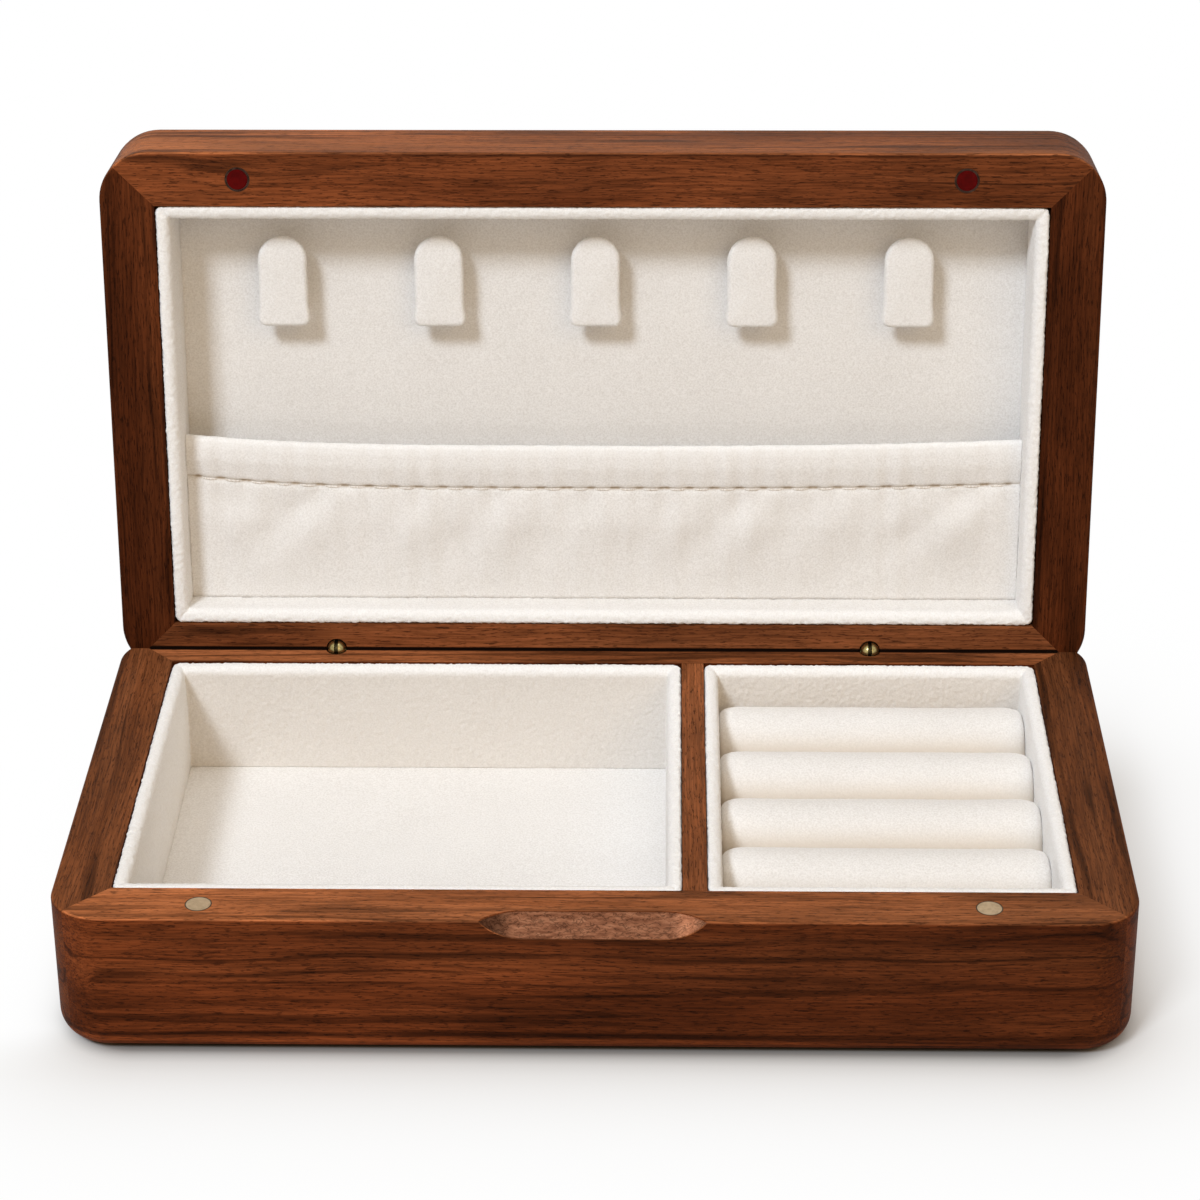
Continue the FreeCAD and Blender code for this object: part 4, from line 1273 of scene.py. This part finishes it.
@dataclass
class RingRolls:
    """Foam bolsters wrapped in velvet, which hold rings between them. Sizes are in millimetres."""

    axes: Axes
    velvet: bpy.types.Material
    count: int = 4
    crown_steps: int = 46
    side_steps: int = 12
    step: float = 0.8
    end_round: float = 0.6
    end_steps: int = 9
    end_bulge: float = 0.1
    end_press: float = 0.95
    slack: float = 0.05
    sole_round: float = 1.2
    crease_shade_depth: tuple[float, float] = (0.5, 7.0)
    crease_shade_share: float = 1.0
    nap: Nap = Nap(swell=0.12, swell_length=16.0)
    stuffing: Stuffing = Stuffing()

    def build(self, model: Model) -> list[bpy.types.Object]:
        """Fill one cover and lay a copy of it in place of each roll's node, from the back forward.

        Args:
            model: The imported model.

        Returns:
            The finished pieces.
        """
        nodes = [f"ring_roll_{index + 1}" for index in range(self.count)]
        low, high = model.limits(self.axes, nodes[0])
        cover = self.stuffing.swell(self.pattern(high - low))
        return [self.roll(model, node, cover) for node in nodes]

    def pattern(self, size: np.ndarray) -> bpy.types.Object:
        """Make the cover of a roll before it is filled, a little smaller than it ends up.

        Args:
            size: Sides of the roll's box, in millimetres.

        Returns:
            The cover, about the middle of the roll's underside, in millimetres.
        """
        low = np.array((-size[0] / 2 - self.end_press, -size[1] / 2, 0.0))
        high = np.array((size[0] / 2 + self.end_press, size[1] / 2, size[2]))
        low[:2] += self.stuffing.cap
        high -= self.stuffing.cap
        rings = np.array([self.section(low, high, *station) for station in self.stations(low[0], high[0])])
        count, points, _ = rings.shape
        return add_object("roll_cover", rings.reshape(-1, 3), loft_faces(count, points))

    def roll(self, model: Model, node: str, cover: Cover) -> bpy.types.Object:
        """Lay one roll in place of its node.

        Args:
            model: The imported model.
            node: Name of the node.
            cover: Corners and faces of the filled cover, about the middle of its underside.

        Returns:
            The finished piece.
        """
        low, high = model.limits(self.axes, node)
        middle = (low + high) / 2
        points = cover[0] + np.array((middle[0], middle[1], low[2]))
        piece = add_object(node.replace("ring", "velvet"), self.axes.place(points), cover[1])
        self.nap.ruffle(piece)
        # Painted shade, growing from the crown down to the creases between the rolls.
        paint(piece, PAINTED_SHADE, self.crease_shade_share * ease(high[2] - points[:, 2], *self.crease_shade_depth))
        dress(piece, self.velvet)
        settle(piece, BASE, (node,))
        return piece

    def stations(self, start: float, end: float) -> list[tuple[float, float, float]]:
        """Place of each ring along the roll, its inset, and its size as a share of the whole.

        Args:
            start: Left end of the roll.
            end: Right end of the roll.

        Returns:
            Rings from the middle of the left end to the middle of the right end.
        """
        half = [(self.end_bulge * (1 - share ** 2), self.end_round, share)
                for share in np.linspace(0.04, 0.9, 6)]
        for angle in np.linspace(0, math.pi / 2, self.end_steps):
            reach = self.end_bulge + self.end_round * (1 - math.cos(angle))
            half.append((reach, self.end_round * (1 - math.sin(angle)), 1.0))
        straight = self.end_round + self.end_bulge
        body = np.linspace(start + straight, end - straight, round((end - start) / self.step))[1:-1]
        rows = [(start + reach, inset, share) for reach, inset, share in half]
        rows += [(float(x), 0.0, 1.0) for x in body]
        rows += [(end - reach, inset, share) for reach, inset, share in reversed(half)]
        return rows

    def section(self, low: np.ndarray, high: np.ndarray, x: float, inset: float, share: float) -> np.ndarray:
        """Outline across the roll: a round crown on straight sides, with a flat underside.

        Args:
            low: Lowest corner of the roll.
            high: Highest corner of the roll.
            x: Place along the roll.
            inset: How far the outline is drawn in.
            share: Size of the outline as a share of the whole.

        Returns:
            The points of the outline.
        """
        full = float(high[1] - low[1]) / 2
        middle = float(high[1] + low[1]) / 2
        spring = float(high[2]) - full
        off_centre = (2 * x - low[0] - high[0]) / (high[0] - low[0])
        radius = full - inset - self.slack * off_centre ** 2
        turn = np.linspace(0, math.pi, self.crown_steps)
        y = list(radius * np.cos(turn))
        z = list(spring + radius * np.sin(turn))
        drop = np.linspace(0, 1, self.side_steps)[1:]
        y += list(-radius + self.sole_round * drop ** 6)
        z += list(spring + (low[2] - spring) * drop)
        y += list(np.linspace(-1, 1, self.side_steps)[1:] * (radius - self.sole_round))
        z += [float(low[2])] * (self.side_steps - 1)
        y += list((radius - self.sole_round * drop ** 6)[::-1][1:])
        z += list((spring + (low[2] - spring) * drop)[::-1][1:])
        centre = (spring + low[2]) / 2 + radius / 3
        across = middle + share * np.array(y)
        upward = centre + share * (np.array(z) - centre)
        return np.column_stack((np.full(len(y), x), across, upward))


@dataclass
class NecklaceHooks:
    """Velvet-wrapped tabs that stand off the lid's lining on stems. Sizes are in millimetres."""

    axes: Axes
    velvet: bpy.types.Material
    count: int = 5
    crown_steps: int = 28
    side_steps: int = 16
    corner_steps: int = 7
    foot_corner: float = 1.5
    edge_round: float = 1.1
    round_steps: int = 5
    face_shares: tuple[float, ...] = (0.85, 0.68, 0.5, 0.32, 0.15, 0.02)
    back_shares: tuple[float, ...] = (0.02, 0.6)
    plate: float = 2.4
    flare: float = 0.38
    dome: float = 0.28
    stem_width: float = 7.0
    stem_low: float = 1.5
    stem_high: float = 9.5
    stem_corner: float = 1.2
    nap: Nap = Nap(swell=0.10, swell_length=6.0, tuft=0.10, tuft_length=0.7)
    tab_highlight: float = 0.40

    def build(self, model: Model) -> list[bpy.types.Object]:
        """Make the hooks in place of their nodes."""
        return [self.hook(model, index + 1) for index in range(self.count)]

    def hook(self, model: Model, number: int) -> bpy.types.Object:
        """Make one hook.

        Args:
            model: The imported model.
            number: Number of the hook, from the left.

        Returns:
            The finished piece.
        """
        node = f"necklace_hook_{number}"
        low, high = model.limits(self.axes, node)
        outline = self.outline(low, high)
        tab = self.tab(outline, float(high[2]))
        points = [tab.reshape(-1, 3)]
        faces = loft_faces(len(tab), tab.shape[1])
        stem = self.stem(low, high)
        faces += loft_faces(len(stem), stem.shape[1], first=len(points[0]))
        points.append(stem.reshape(-1, 3))
        piece = add_object(f"velvet_hook_{number}", self.axes.place(np.concatenate(points)), faces)
        self.nap.ruffle(piece)
        # Painted highlight that makes the whole tab paler than its stem.
        paint(piece, PAINTED_LIGHT, np.repeat((self.tab_highlight, 0.0), (len(points[0]), len(points[1]))))
        dress(piece, self.velvet)
        settle(piece, LID, (node,))
        return piece

    def outline(self, low: np.ndarray, high: np.ndarray) -> np.ndarray:
        """Outline of the tab: a half-round top, straight sides that flare a little, and a square foot.

        Args:
            low: Lowest corner of the hook.
            high: Highest corner of the hook.

        Returns:
            The points of the outline.
        """
        radius = float(high[0] - low[0]) / 2
        middle = float(high[0] + low[0]) / 2
        spring = float(high[1]) - radius
        foot = float(low[1])
        corner = self.foot_corner
        points = [(middle + radius * math.cos(turn), spring + radius * math.sin(turn))
                  for turn in np.linspace(0, math.pi, self.crown_steps)]
        sides = np.linspace(spring, foot + corner, self.side_steps)[1:]
        points += [(middle - radius, float(y)) for y in sides]
        left = middle - radius + corner
        right = middle + radius - corner
        for turn in np.linspace(math.pi, 1.5 * math.pi, self.corner_steps)[1:]:
            points.append((left + corner * math.cos(turn), foot + corner + corner * math.sin(turn)))
        points += [(middle + share * (radius - corner), foot)
                   for share in np.linspace(-1, 1, self.side_steps)[1:]]
        for turn in np.linspace(1.5 * math.pi, 2 * math.pi, self.corner_steps)[1:]:
            points.append((right + corner * math.cos(turn), foot + corner + corner * math.sin(turn)))
        points += [(middle + radius, float(y)) for y in sides[::-1][1:]]
        outline = np.array(points)
        lift = outline[:, 1] - foot
        outline[:, 0] += self.flare * np.sign(outline[:, 0] - middle) * bell(lift - 2.2, 1.3)
        return outline

    def tab(self, outline: np.ndarray, front: float) -> np.ndarray:
        """Rings of the tab, from its back over the rounded edge to the middle of its domed face.

        Args:
            outline: The points of its outline.
            front: Height of its face.

        Returns:
            The points of each ring.
        """
        following = np.roll(outline, -1, axis=0) - np.roll(outline, 1, axis=0)
        inward = np.stack((-following[:, 1], following[:, 0]), axis=1)
        inward /= np.linalg.norm(inward, axis=1)[:, None]
        middle = outline.mean(axis=0)
        back = front - self.plate
        rows = []
        for angle in np.linspace(0, math.pi / 2, self.round_steps):
            inset = self.edge_round * (1 - math.sin(angle))
            rows.append((outline + inward * inset, back + self.edge_round * (1 - math.cos(angle)) * 0.6))
        for angle in np.linspace(0, math.pi / 2, self.round_steps + 2):
            inset = self.edge_round * (1 - math.cos(angle))
            height = front - self.dome - self.edge_round * (1 - math.sin(angle))
            rows.append((outline + inward * inset, height))
        face = outline + inward * self.edge_round
        for share in self.face_shares:
            rows.append((middle + (face - middle) * share, front - self.dome * share ** 2))
        backs = [(middle + (face - middle) * share, back) for share in self.back_shares]
        rows = backs + rows
        return np.array([np.column_stack((ring, np.full(len(ring), height))) for ring, height in rows])

    def stem(self, low: np.ndarray, high: np.ndarray) -> np.ndarray:
        """Rings of the stem, from the lining out to the back of the tab.

        Args:
            low: Lowest corner of the hook.
            high: Highest corner of the hook.

        Returns:
            The points of each ring.
        """
        middle = float(low[0] + high[0]) / 2
        half = self.stem_width / 2
        y_low, y_high = float(low[1]) + self.stem_low, float(low[1]) + self.stem_high
        corner = self.stem_corner
        spots = ((half, y_low, -0.5), (half, y_high, 0.0), (-half, y_high, 0.5), (-half, y_low, 1.0))
        loop = []
        for x, y, turn in spots:
            centre = (middle + x - math.copysign(corner, x), y + (corner if y == y_low else -corner))
            for angle in np.linspace(turn * math.pi, (turn + 0.5) * math.pi, self.corner_steps):
                loop.append((centre[0] + corner * math.cos(angle), centre[1] + corner * math.sin(angle)))
        outline = np.array(loop)
        heights = np.linspace(float(low[2]) - 0.2, float(high[2]) - self.plate + 0.4, 8)
        return np.array([np.column_stack((outline, np.full(len(outline), height))) for height in heights])


@dataclass(frozen=True)
class Gather:
    """One soft fold that runs down from the seam: where it starts, how it leans and how large it grows."""

    start: float
    lean: float
    width: float
    depth: float


@dataclass
class LidPocket:
    """Gathered velvet pocket with a wide stitched hem. Sizes are in millimetres."""

    axes: Axes
    velvet: bpy.types.Material
    thread: bpy.types.Material
    node: str = "lid_pocket"
    cloth: float = 0.9
    hem: float = 10.0
    columns: int = 620
    hem_gap: float = 0.5
    top_sag: tuple[float, float] = (2.5, 1.8)
    seam_sag: tuple[float, float] = (2.9, 1.4)
    sag_power: tuple[float, float] = (4.0, 2.6)
    seam_share: float = 0.74
    depths: tuple[tuple[float, float], ...] = (
        (0.0, 0.2), (0.5, 1.25), (0.74, 0.45), (0.87, 1.35), (1.0, 0.7))
    stitch_pitch: float = 5.6
    stitch_length: float = 4.2
    stitch_radius: float = 0.26
    stitch_drop: float = 0.25
    hole_width: float = 0.55
    highlight_depth: tuple[float, float] = (3.0, 1.4)
    pucker: float = 0.24
    pucker_range: tuple[float, float] = (0.35, 0.9)
    ripple: float = 0.26
    groove: tuple[float, float] = (0.42, 0.45)
    hole: tuple[float, float] = (0.35, 0.35)
    drape: float = 0.9
    flat_size: tuple[float, float] = (0.202, 0.056)
    nap: Nap = Nap(swell=0.05, swell_length=9.0, tuft=0.05)
    gathers: tuple[Gather, ...] = (
        Gather(-78.0, -0.30, 3.6, 0.40),
        Gather(-58.0, -0.78, 4.0, 0.75),
        Gather(-37.0, -0.55, 3.2, 0.35),
        Gather(-19.0, -0.34, 3.6, 0.75),
        Gather(3.0, -0.42, 4.4, 0.45),
        Gather(20.0, -0.30, 2.8, 0.40),
        Gather(38.5, -0.50, 3.8, 0.85),
        Gather(57.0, -0.62, 4.2, 0.35),
        Gather(70.0, -0.40, 3.0, 0.30),
        Gather(90.0, -0.92, 4.4, 0.75),
    )
    low: np.ndarray = field(init=False)
    high: np.ndarray = field(init=False)
    reach: float = field(init=False)
    stitches: list[float] = field(init=False)

    def build(self, model: Model) -> bpy.types.Object:
        """Make the pocket and its stitches in place of the node.

        Args:
            model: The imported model.

        Returns:
            The pocket.
        """
        self.low, self.high = model.limits(self.axes, self.node)
        self.reach = float(self.high[0])
        self.stitches = self.stitch_places()
        across = np.linspace(self.low[0], self.high[0], self.columns)
        rings = np.array([self.slice(float(x)) for x in across])
        piece = loft("gathered_pocket", self.axes, rings)
        self.nap.ruffle(piece)
        self.mark(piece, rings)
        dress(piece, self.velvet)
        settle(piece, LID, (self.node,))
        seam = self.stitching()
        return piece

    def mark(self, piece: bpy.types.Object, rings: np.ndarray) -> None:
        """Paint a highlight on the rolled top edge, and shade in the needle holes and along the line of the
        seam.

        Args:
            piece: The pocket.
            rings: Its outlines, before the nap moved them.
        """
        crest = np.zeros(rings.shape[:2])
        seam_shade = np.zeros(rings.shape[:2])
        for index, ring in enumerate(rings):
            x = float(ring[0, 0])
            _, seam, top = self.levels(x)
            # Painted highlight on the rolled top edge.
            crest[index] = ease(ring[:, 1], top - self.highlight_depth[0], top - self.highlight_depth[1])
            above = ring[:, 1] - seam
            hole = 0.95 * self.near_hole(x)
            # Painted shade: dark needle holes and a thin shaded line just above the seam.
            seam_shade[index] = hole * bell(above, 0.22) + 0.35 * bell(above - 0.1, 0.18)
        paint(piece, PAINTED_LIGHT, crest.ravel())
        paint(piece, SEAM_SHADE, seam_shade.ravel())

    def stitch_places(self) -> list[float]:
        """Places of the stitches along the seam, a little uneven as hand-guided sewing is.

        Returns:
            The middle of each stitch.
        """
        count = int(2 * self.reach / self.stitch_pitch)
        first = -self.stitch_pitch * (count - 1) / 2
        return [first + self.stitch_pitch * (index + 0.16 * noise.noise(Vector((index * 1.7, 4.0, 0.0))))
                for index in range(count)]

    def sag(self, x: float, drop: tuple[float, float]) -> float:
        """How far an edge hangs below its level.

        Args:
            x: Place along the pocket.
            drop: How far the middle hangs below the left end and below the right end.

        Returns:
            The distance, below 0 where the edge stands higher.
        """
        side = 0 if x < 0 else 1
        middle = (drop[0] + drop[1]) / 2
        return middle - drop[side] * abs(x / self.reach) ** self.sag_power[side]

    def levels(self, x: float) -> tuple[float, float, float]:
        """Levels of the foot, the seam and the top edge at one place.

        Args:
            x: Place along the pocket.

        Returns:
            The three levels, from the lowest.
        """
        foot = float(self.low[1])
        top = float(self.high[1]) - self.sag(x, self.top_sag)
        seam = float(self.high[1]) - self.hem - self.sag(x, self.seam_sag)
        return foot, seam, top

    def front(self, x: float, y: np.ndarray) -> np.ndarray:
        """Height of the cloth's front, with its gathers and puckers.

        Args:
            x: Place along the pocket.
            y: Levels at that place.

        Returns:
            The height at each level.
        """
        foot, seam, top = self.levels(x)
        rest = 1 - self.seam_share
        body = self.seam_share * (y - foot) / (seam - foot)
        hem = self.seam_share + rest * (y - seam) / (top - seam)
        share = np.where(y < seam, body, hem)
        places, rises = zip(*self.depths)
        base = float(self.high[2]) - max(rises) + np.interp(share, places, rises)
        below = np.clip(seam - y, 0.0, None)
        run = below / (seam - foot)
        swell = np.zeros_like(y)
        for gather in self.gathers:
            width = gather.width * (0.7 + 1.0 * run)
            off = (x - gather.start - gather.lean * below) / width
            swell += gather.depth * (bell(off, 0.9) - 0.8 * bell(off + 1.9, 1.0))
        growing = 0.45 + 0.55 * ease(run, 0.0, 0.25)
        fading = 1 - 0.9 * ease(run, 0.35, 0.95)
        envelope = growing * fading * ease(below, 0.0, 2.0)
        drape = np.array([noise.noise(Vector((x / 17.0 + row / 30.0, row / 26.0, 5.0))) for row in y])
        swell += self.drape * drape * ease(below, 0.0, 6.0)
        wave = math.cos(2 * math.pi * x / self.stitch_pitch)
        least, more = self.pucker_range
        wave *= least + more * max(0.0, noise.noise(Vector((x / 12.0, 9.0, 0.0))))
        above = np.clip(y - seam, 0.0, None)
        pucker = self.pucker * wave * (np.exp(-below / 3.6) + 0.6 * np.exp(-above / 2.2))
        ripple = self.ripple * noise.noise(Vector((x / 6.5, 2.0, 0.0))) * ease(y, seam, seam + 3.0)
        groove = -self.groove[0] * bell(y - seam, self.groove[1])
        hole = -self.hole[0] * self.near_hole(x) * bell(y - seam, self.hole[1])
        return base + swell * envelope + pucker + ripple + groove + hole

    def near_hole(self, x: float) -> float:
        """How close a place is to a needle hole.

        Args:
            x: Place along the pocket.

        Returns:
            The closeness, from 0 to 1.
        """
        half = self.stitch_length / 2 + 0.3
        near = [middle for middle in self.stitches if abs(x - middle) < self.stitch_pitch]
        gaps = [x - middle - side * half for middle in near for side in (-1, 1)]
        return max(float(bell(gap, self.hole_width)) for gap in gaps)

    def slice(self, x: float) -> np.ndarray:
        """Closed outline across the cloth at one place: up the front, over the hem and down inside it.

        Args:
            x: Place along the pocket.

        Returns:
            The points of the outline.
        """
        foot, seam, top = self.levels(x)
        half = self.cloth / 2
        turn = half + self.hem_gap / 2
        crest = top - turn - half
        near = np.array((0.1, 0.25, 0.45, 0.65, 0.9, 1.2, 1.6))
        body = np.linspace(foot, seam - 2.2, 30)
        hem = np.linspace(seam + 2.2, crest, 9)
        rows = np.concatenate((body, seam - near[::-1], seam + near, hem))
        height = self.front(x, rows) - half
        line = list(zip(rows, height))
        last = height[-1]
        for angle in np.linspace(0, math.pi, 11)[1:]:
            line.append((crest + turn * math.sin(angle), last - turn * (1 - math.cos(angle))))
        behind = np.linspace(crest, seam - 1.2, 9)[1:]
        line += [(y, self.front(x, np.array([max(y, seam + 0.8)]))[0] - half - 2 * turn) for y in behind]
        path = np.array(line)
        along = np.gradient(path, axis=0)
        normal = np.stack((-along[:, 1], along[:, 0]), axis=1)
        normal /= np.linalg.norm(normal, axis=1)[:, None]
        outline = np.concatenate((path + normal * half, (path - normal * half)[::-1]))
        return np.column_stack((np.full(len(outline), x), outline))

    def stitching(self) -> bpy.types.Object:
        """Make the row of stitches along the seam.

        Returns:
            All the stitches as one piece.
        """
        points: list[np.ndarray] = []
        faces: list[Sequence[int]] = []
        angles = np.linspace(0, 2 * math.pi, 10, endpoint=False)
        for middle in self.stitches:
            spans = np.linspace(-1, 1, 13)
            rings = []
            for span in spans:
                x = middle + span * self.stitch_length / 2
                seam = self.levels(x)[1] - self.stitch_drop
                lift = 0.16 * (1 - span ** 4) - 0.25 * span ** 8
                height = float(self.front(x, np.array([seam]))[0]) + lift
                thick = self.stitch_radius * math.sqrt(max(0.06, 1 - span ** 6))
                rings.append(np.stack((np.full_like(angles, x), seam + thick * np.cos(angles),
                                       height + thick * np.sin(angles)), axis=1))
            faces += loft_faces(len(rings), len(angles), first=sum(len(group) for group in points))
            points.append(np.concatenate(rings))
        piece = add_object("pocket_stitching", self.axes.place(np.concatenate(points)), faces)
        dress(piece, self.thread)
        settle(piece, LID, ())
        return piece


@dataclass(frozen=True)
class Lamp:
    """One square soft lamp: the way to it from the box, its distance, power, size and colour."""

    name: str
    way: Triple
    reach: float
    power: float
    size: float
    colour: Colour


@dataclass
class Studio:
    """Pale floor, soft lights and the camera."""

    centre: Triple = (0.0, 0.02, 0.06)
    camera_place: Triple = (0.01430, -0.65167, 0.40527)
    yaw: float = -1.206
    pitch: float = 26.977
    roll: float = -0.323
    focal_pixels: float = 3489.8
    picture_pixels: float = 1200.0
    sensor: float = 36.0
    floor_size: float = 8.0
    floor_colour: Colour = (0.72, 0.70, 0.67)
    footprint: tuple[float, float] = (0.094, 0.045)
    corner: float = 0.011
    white_start: float = 0.0034
    side_reach: tuple[float, float] = (0.003, 0.014)
    front_reach: float = 0.014
    front_zone: tuple[float, float] = (0.050, 0.070)
    # Painted contact shadow: the floor's colour darkens by distance from the box's foot.
    painted_contact_shadow: tuple[tuple[float, float], ...] = ((0.0, 0.05), (0.002, 0.18), (0.0045, 0.70), (0.009, 1.0))
    surround: Colour = (1.0, 0.71, 0.42)
    surround_strength: float = 0.24
    lamps: tuple[Lamp, ...] = (
        Lamp("key", (-0.585, -1.0, 1.20), 3.0, 60.3, 0.60, (0.805, 0.893, 1.0)),
        Lamp("overhead", (0.07, -0.05, 1.0), 2.0, 12.0, 1.37, (0.91, 0.96, 1.0)),
        Lamp("fill", (0.5, -1.0, 0.75), 2.0, 7.4, 1.25, (1.0, 0.77, 0.48)),
    )

    def build(self) -> None:
        """Make the floor, the lights, the white surroundings and the camera."""
        self.make_floor()
        self.make_world()
        for lamp in self.lamps:
            self.make_lamp(lamp)
        self.make_camera()
        bpy.context.scene.view_settings.view_transform = "Standard"
        LOG.info("studio is lit and the camera is set")

    @staticmethod
    def seen(graph: Graph) -> bpy.types.NodeSocket:
        """1 where the camera looks straight, by reflection or through glass, and 0 for light that falls.

        Args:
            graph: The nodes to add to.

        Returns:
            The mask.
        """
        path = graph.add("ShaderNodeLightPath", {})
        straight = graph.math("MAXIMUM", path.outputs["Is Camera Ray"], path.outputs["Is Glossy Ray"])
        return graph.math("MAXIMUM", straight, path.outputs["Is Transmission Ray"])

    def make_floor(self) -> None:
        """Lay a wide floor that takes the box's shadow near it and shows plain white further away."""
        half = self.floor_size / 2
        corners = np.array(((-half, -half, 0), (half, -half, 0), (half, half, 0), (-half, half, 0)))
        floor = add_object("floor", corners, [(0, 1, 2, 3)])
        graph = Graph("white_floor")
        gap = self.away_from_box(graph)
        # Painted contact shadow: the floor's colour darkens towards the box's foot.
        tone = graph.ramp(gap, [(place, tuple(share * part for part in self.floor_colour))
                                for place, share in self.painted_contact_shadow])
        matt = graph.add("ShaderNodeBsdfDiffuse", {"Color": tone}).outputs[0]
        glow = graph.add("ShaderNodeEmission", {"Color": (1, 1, 1, 1), "Strength": 1.0}).outputs[0]
        beyond = graph.math("MAXIMUM", graph.math("SUBTRACT", gap, self.white_start), 0.0)
        decay = graph.math("DIVIDE", beyond, self.shadow_reach(graph))
        fading = graph.math("POWER", 1 / math.e, decay)
        share = graph.math("MULTIPLY", self.seen(graph), graph.math("SUBTRACT", 1.0, fading))
        mixed = graph.add("ShaderNodeMixShader", {0: share, 1: matt, 2: glow}).outputs[0]
        graph.add("ShaderNodeOutputMaterial", {"Surface": mixed})
        dress(floor, graph.material)
        floor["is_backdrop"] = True

    def away_from_box(self, graph: Graph) -> bpy.types.NodeSocket:
        """Distance on the floor from where the box's rounded foot touches it, in metres.

        Args:
            graph: The floor's nodes.

        Returns:
            The distance, 0 under the box.
        """
        place = graph.place()
        gaps = []
        for way, half in zip(((1, 0, 0), (0, 1, 0)), self.footprint):
            beyond = graph.math("SUBTRACT", graph.math("ABSOLUTE", graph.dot(place, way), 0.0), half)
            gaps.append(graph.math("MAXIMUM", beyond, 0.0))
        gap = graph.length(graph.add("ShaderNodeCombineXYZ", {0: gaps[0], 1: gaps[1]}).outputs[0])
        return graph.math("MAXIMUM", graph.math("SUBTRACT", gap, self.corner), 0.0)

    def shadow_reach(self, graph: Graph) -> bpy.types.NodeSocket:
        """How far the shade on the floor reaches: least on the left, more on the right and most in front.

        Args:
            graph: The floor's nodes.

        Returns:
            The distance over which it fades, in metres.
        """
        place = graph.place()
        edge = self.footprint[0] + self.corner
        beside = graph.remap(graph.dot(place, (1, 0, 0)), (-edge, edge), self.side_reach)
        front = graph.remap(graph.dot(place, (0, -1, 0)), self.front_zone)
        rest = graph.math("MULTIPLY", beside, graph.math("SUBTRACT", 1.0, front))
        return graph.math("ADD", rest, graph.math("MULTIPLY", front, self.front_reach))

    def make_world(self) -> None:
        """Surround the box with white that is seen and with a dim warm light that falls on the box."""
        world = bpy.data.worlds.new("studio")
        bpy.context.scene.world = world
        world.use_nodes = True
        graph = Graph("studio_backdrop")
        graph.tree = world.node_tree
        graph.tree.nodes.clear()
        white = graph.add("ShaderNodeBackground", {"Color": (1, 1, 1, 1), "Strength": 1.0}).outputs[0]
        dim = {"Color": (*self.surround, 1.0), "Strength": self.surround_strength}
        soft = graph.add("ShaderNodeBackground", dim).outputs[0]
        mixed = graph.add("ShaderNodeMixShader", {0: self.seen(graph), 1: soft, 2: white}).outputs[0]
        graph.add("ShaderNodeOutputWorld", {"Surface": mixed})
        bpy.data.materials.remove(graph.material)

    def make_lamp(self, lamp: Lamp) -> None:
        """Hang one lamp so that it points at the box.

        Args:
            lamp: The lamp to hang.
        """
        place = Vector(self.centre) + Vector(lamp.way).normalized() * lamp.reach
        data = bpy.data.lights.new(lamp.name, "AREA")
        data.shape = "SQUARE"
        data.size = lamp.size
        data.energy = lamp.power
        data.color = lamp.colour
        bulb = bpy.data.objects.new(lamp.name, data)
        bulb.location = place
        bulb.rotation_mode = "QUATERNION"
        bulb.rotation_quaternion = (Vector(self.centre) - place).to_track_quat("-Z", "Y")
        bpy.context.scene.collection.objects.link(bulb)

    def make_camera(self) -> None:
        """Set the camera where the photograph was taken from."""
        yaw, pitch, roll = (math.radians(angle) for angle in (self.yaw, self.pitch, self.roll))
        ahead = Vector((math.sin(yaw) * math.cos(pitch), math.cos(yaw) * math.cos(pitch), -math.sin(pitch)))
        level = Vector((math.cos(yaw), -math.sin(yaw), 0.0))
        upright = level.cross(ahead)
        right = level * math.cos(roll) + upright * math.sin(roll)
        up = upright * math.cos(roll) - level * math.sin(roll)
        data = bpy.data.cameras.new("camera")
        data.sensor_width = self.sensor
        data.lens = self.focal_pixels / self.picture_pixels * self.sensor
        data.clip_start = 0.01
        data.clip_end = 50.0
        camera = bpy.data.objects.new("camera", data)
        turned = Matrix((right, up, -ahead)).transposed().to_4x4()
        camera.matrix_world = Matrix.Translation(self.camera_place) @ turned
        bpy.context.scene.collection.objects.link(camera)
        bpy.context.scene.camera = camera


def main() -> None:
    """Build and dress the box, a sub-assembly at a time."""
    logging.basicConfig(level=logging.INFO, format="%(name)s: %(message)s")
    model = Model()
    WoodenCase().dress(model)
    Fittings().dress(model)
    velvet = Velvet().material()
    for bay in ("left", "right"):
        boards = tuple(f"{bay}_liner_{side}" for side in LINER_SIDES)
        lining = Lining(f"{bay}_lining", BASE, model.base_axes, boards, velvet,
                        back_shade=0.35, side_painted_light=0.9)
        lining.build(model)
        FloorPad(f"{bay}_floor_velvet", BASE, model.base_axes, f"{bay}_floor_pad", velvet).build(model)
    RingRolls(model.base_axes, velvet).build(model)
    lid_boards = tuple(f"lid_liner_{side}" for side in LINER_SIDES)
    Lining("lid_lining", LID, model.lid_axes, lid_boards, velvet).build(model)
    FloorPad("lid_back_velvet", LID, model.lid_axes, "lid_liner_panel", velvet).build(model)
    NecklaceHooks(model.lid_axes, velvet).build(model)
    LidPocket(model.lid_axes, velvet, Thread().material()).build(model)
    Studio().build()


if __name__ == "__main__":
    main()
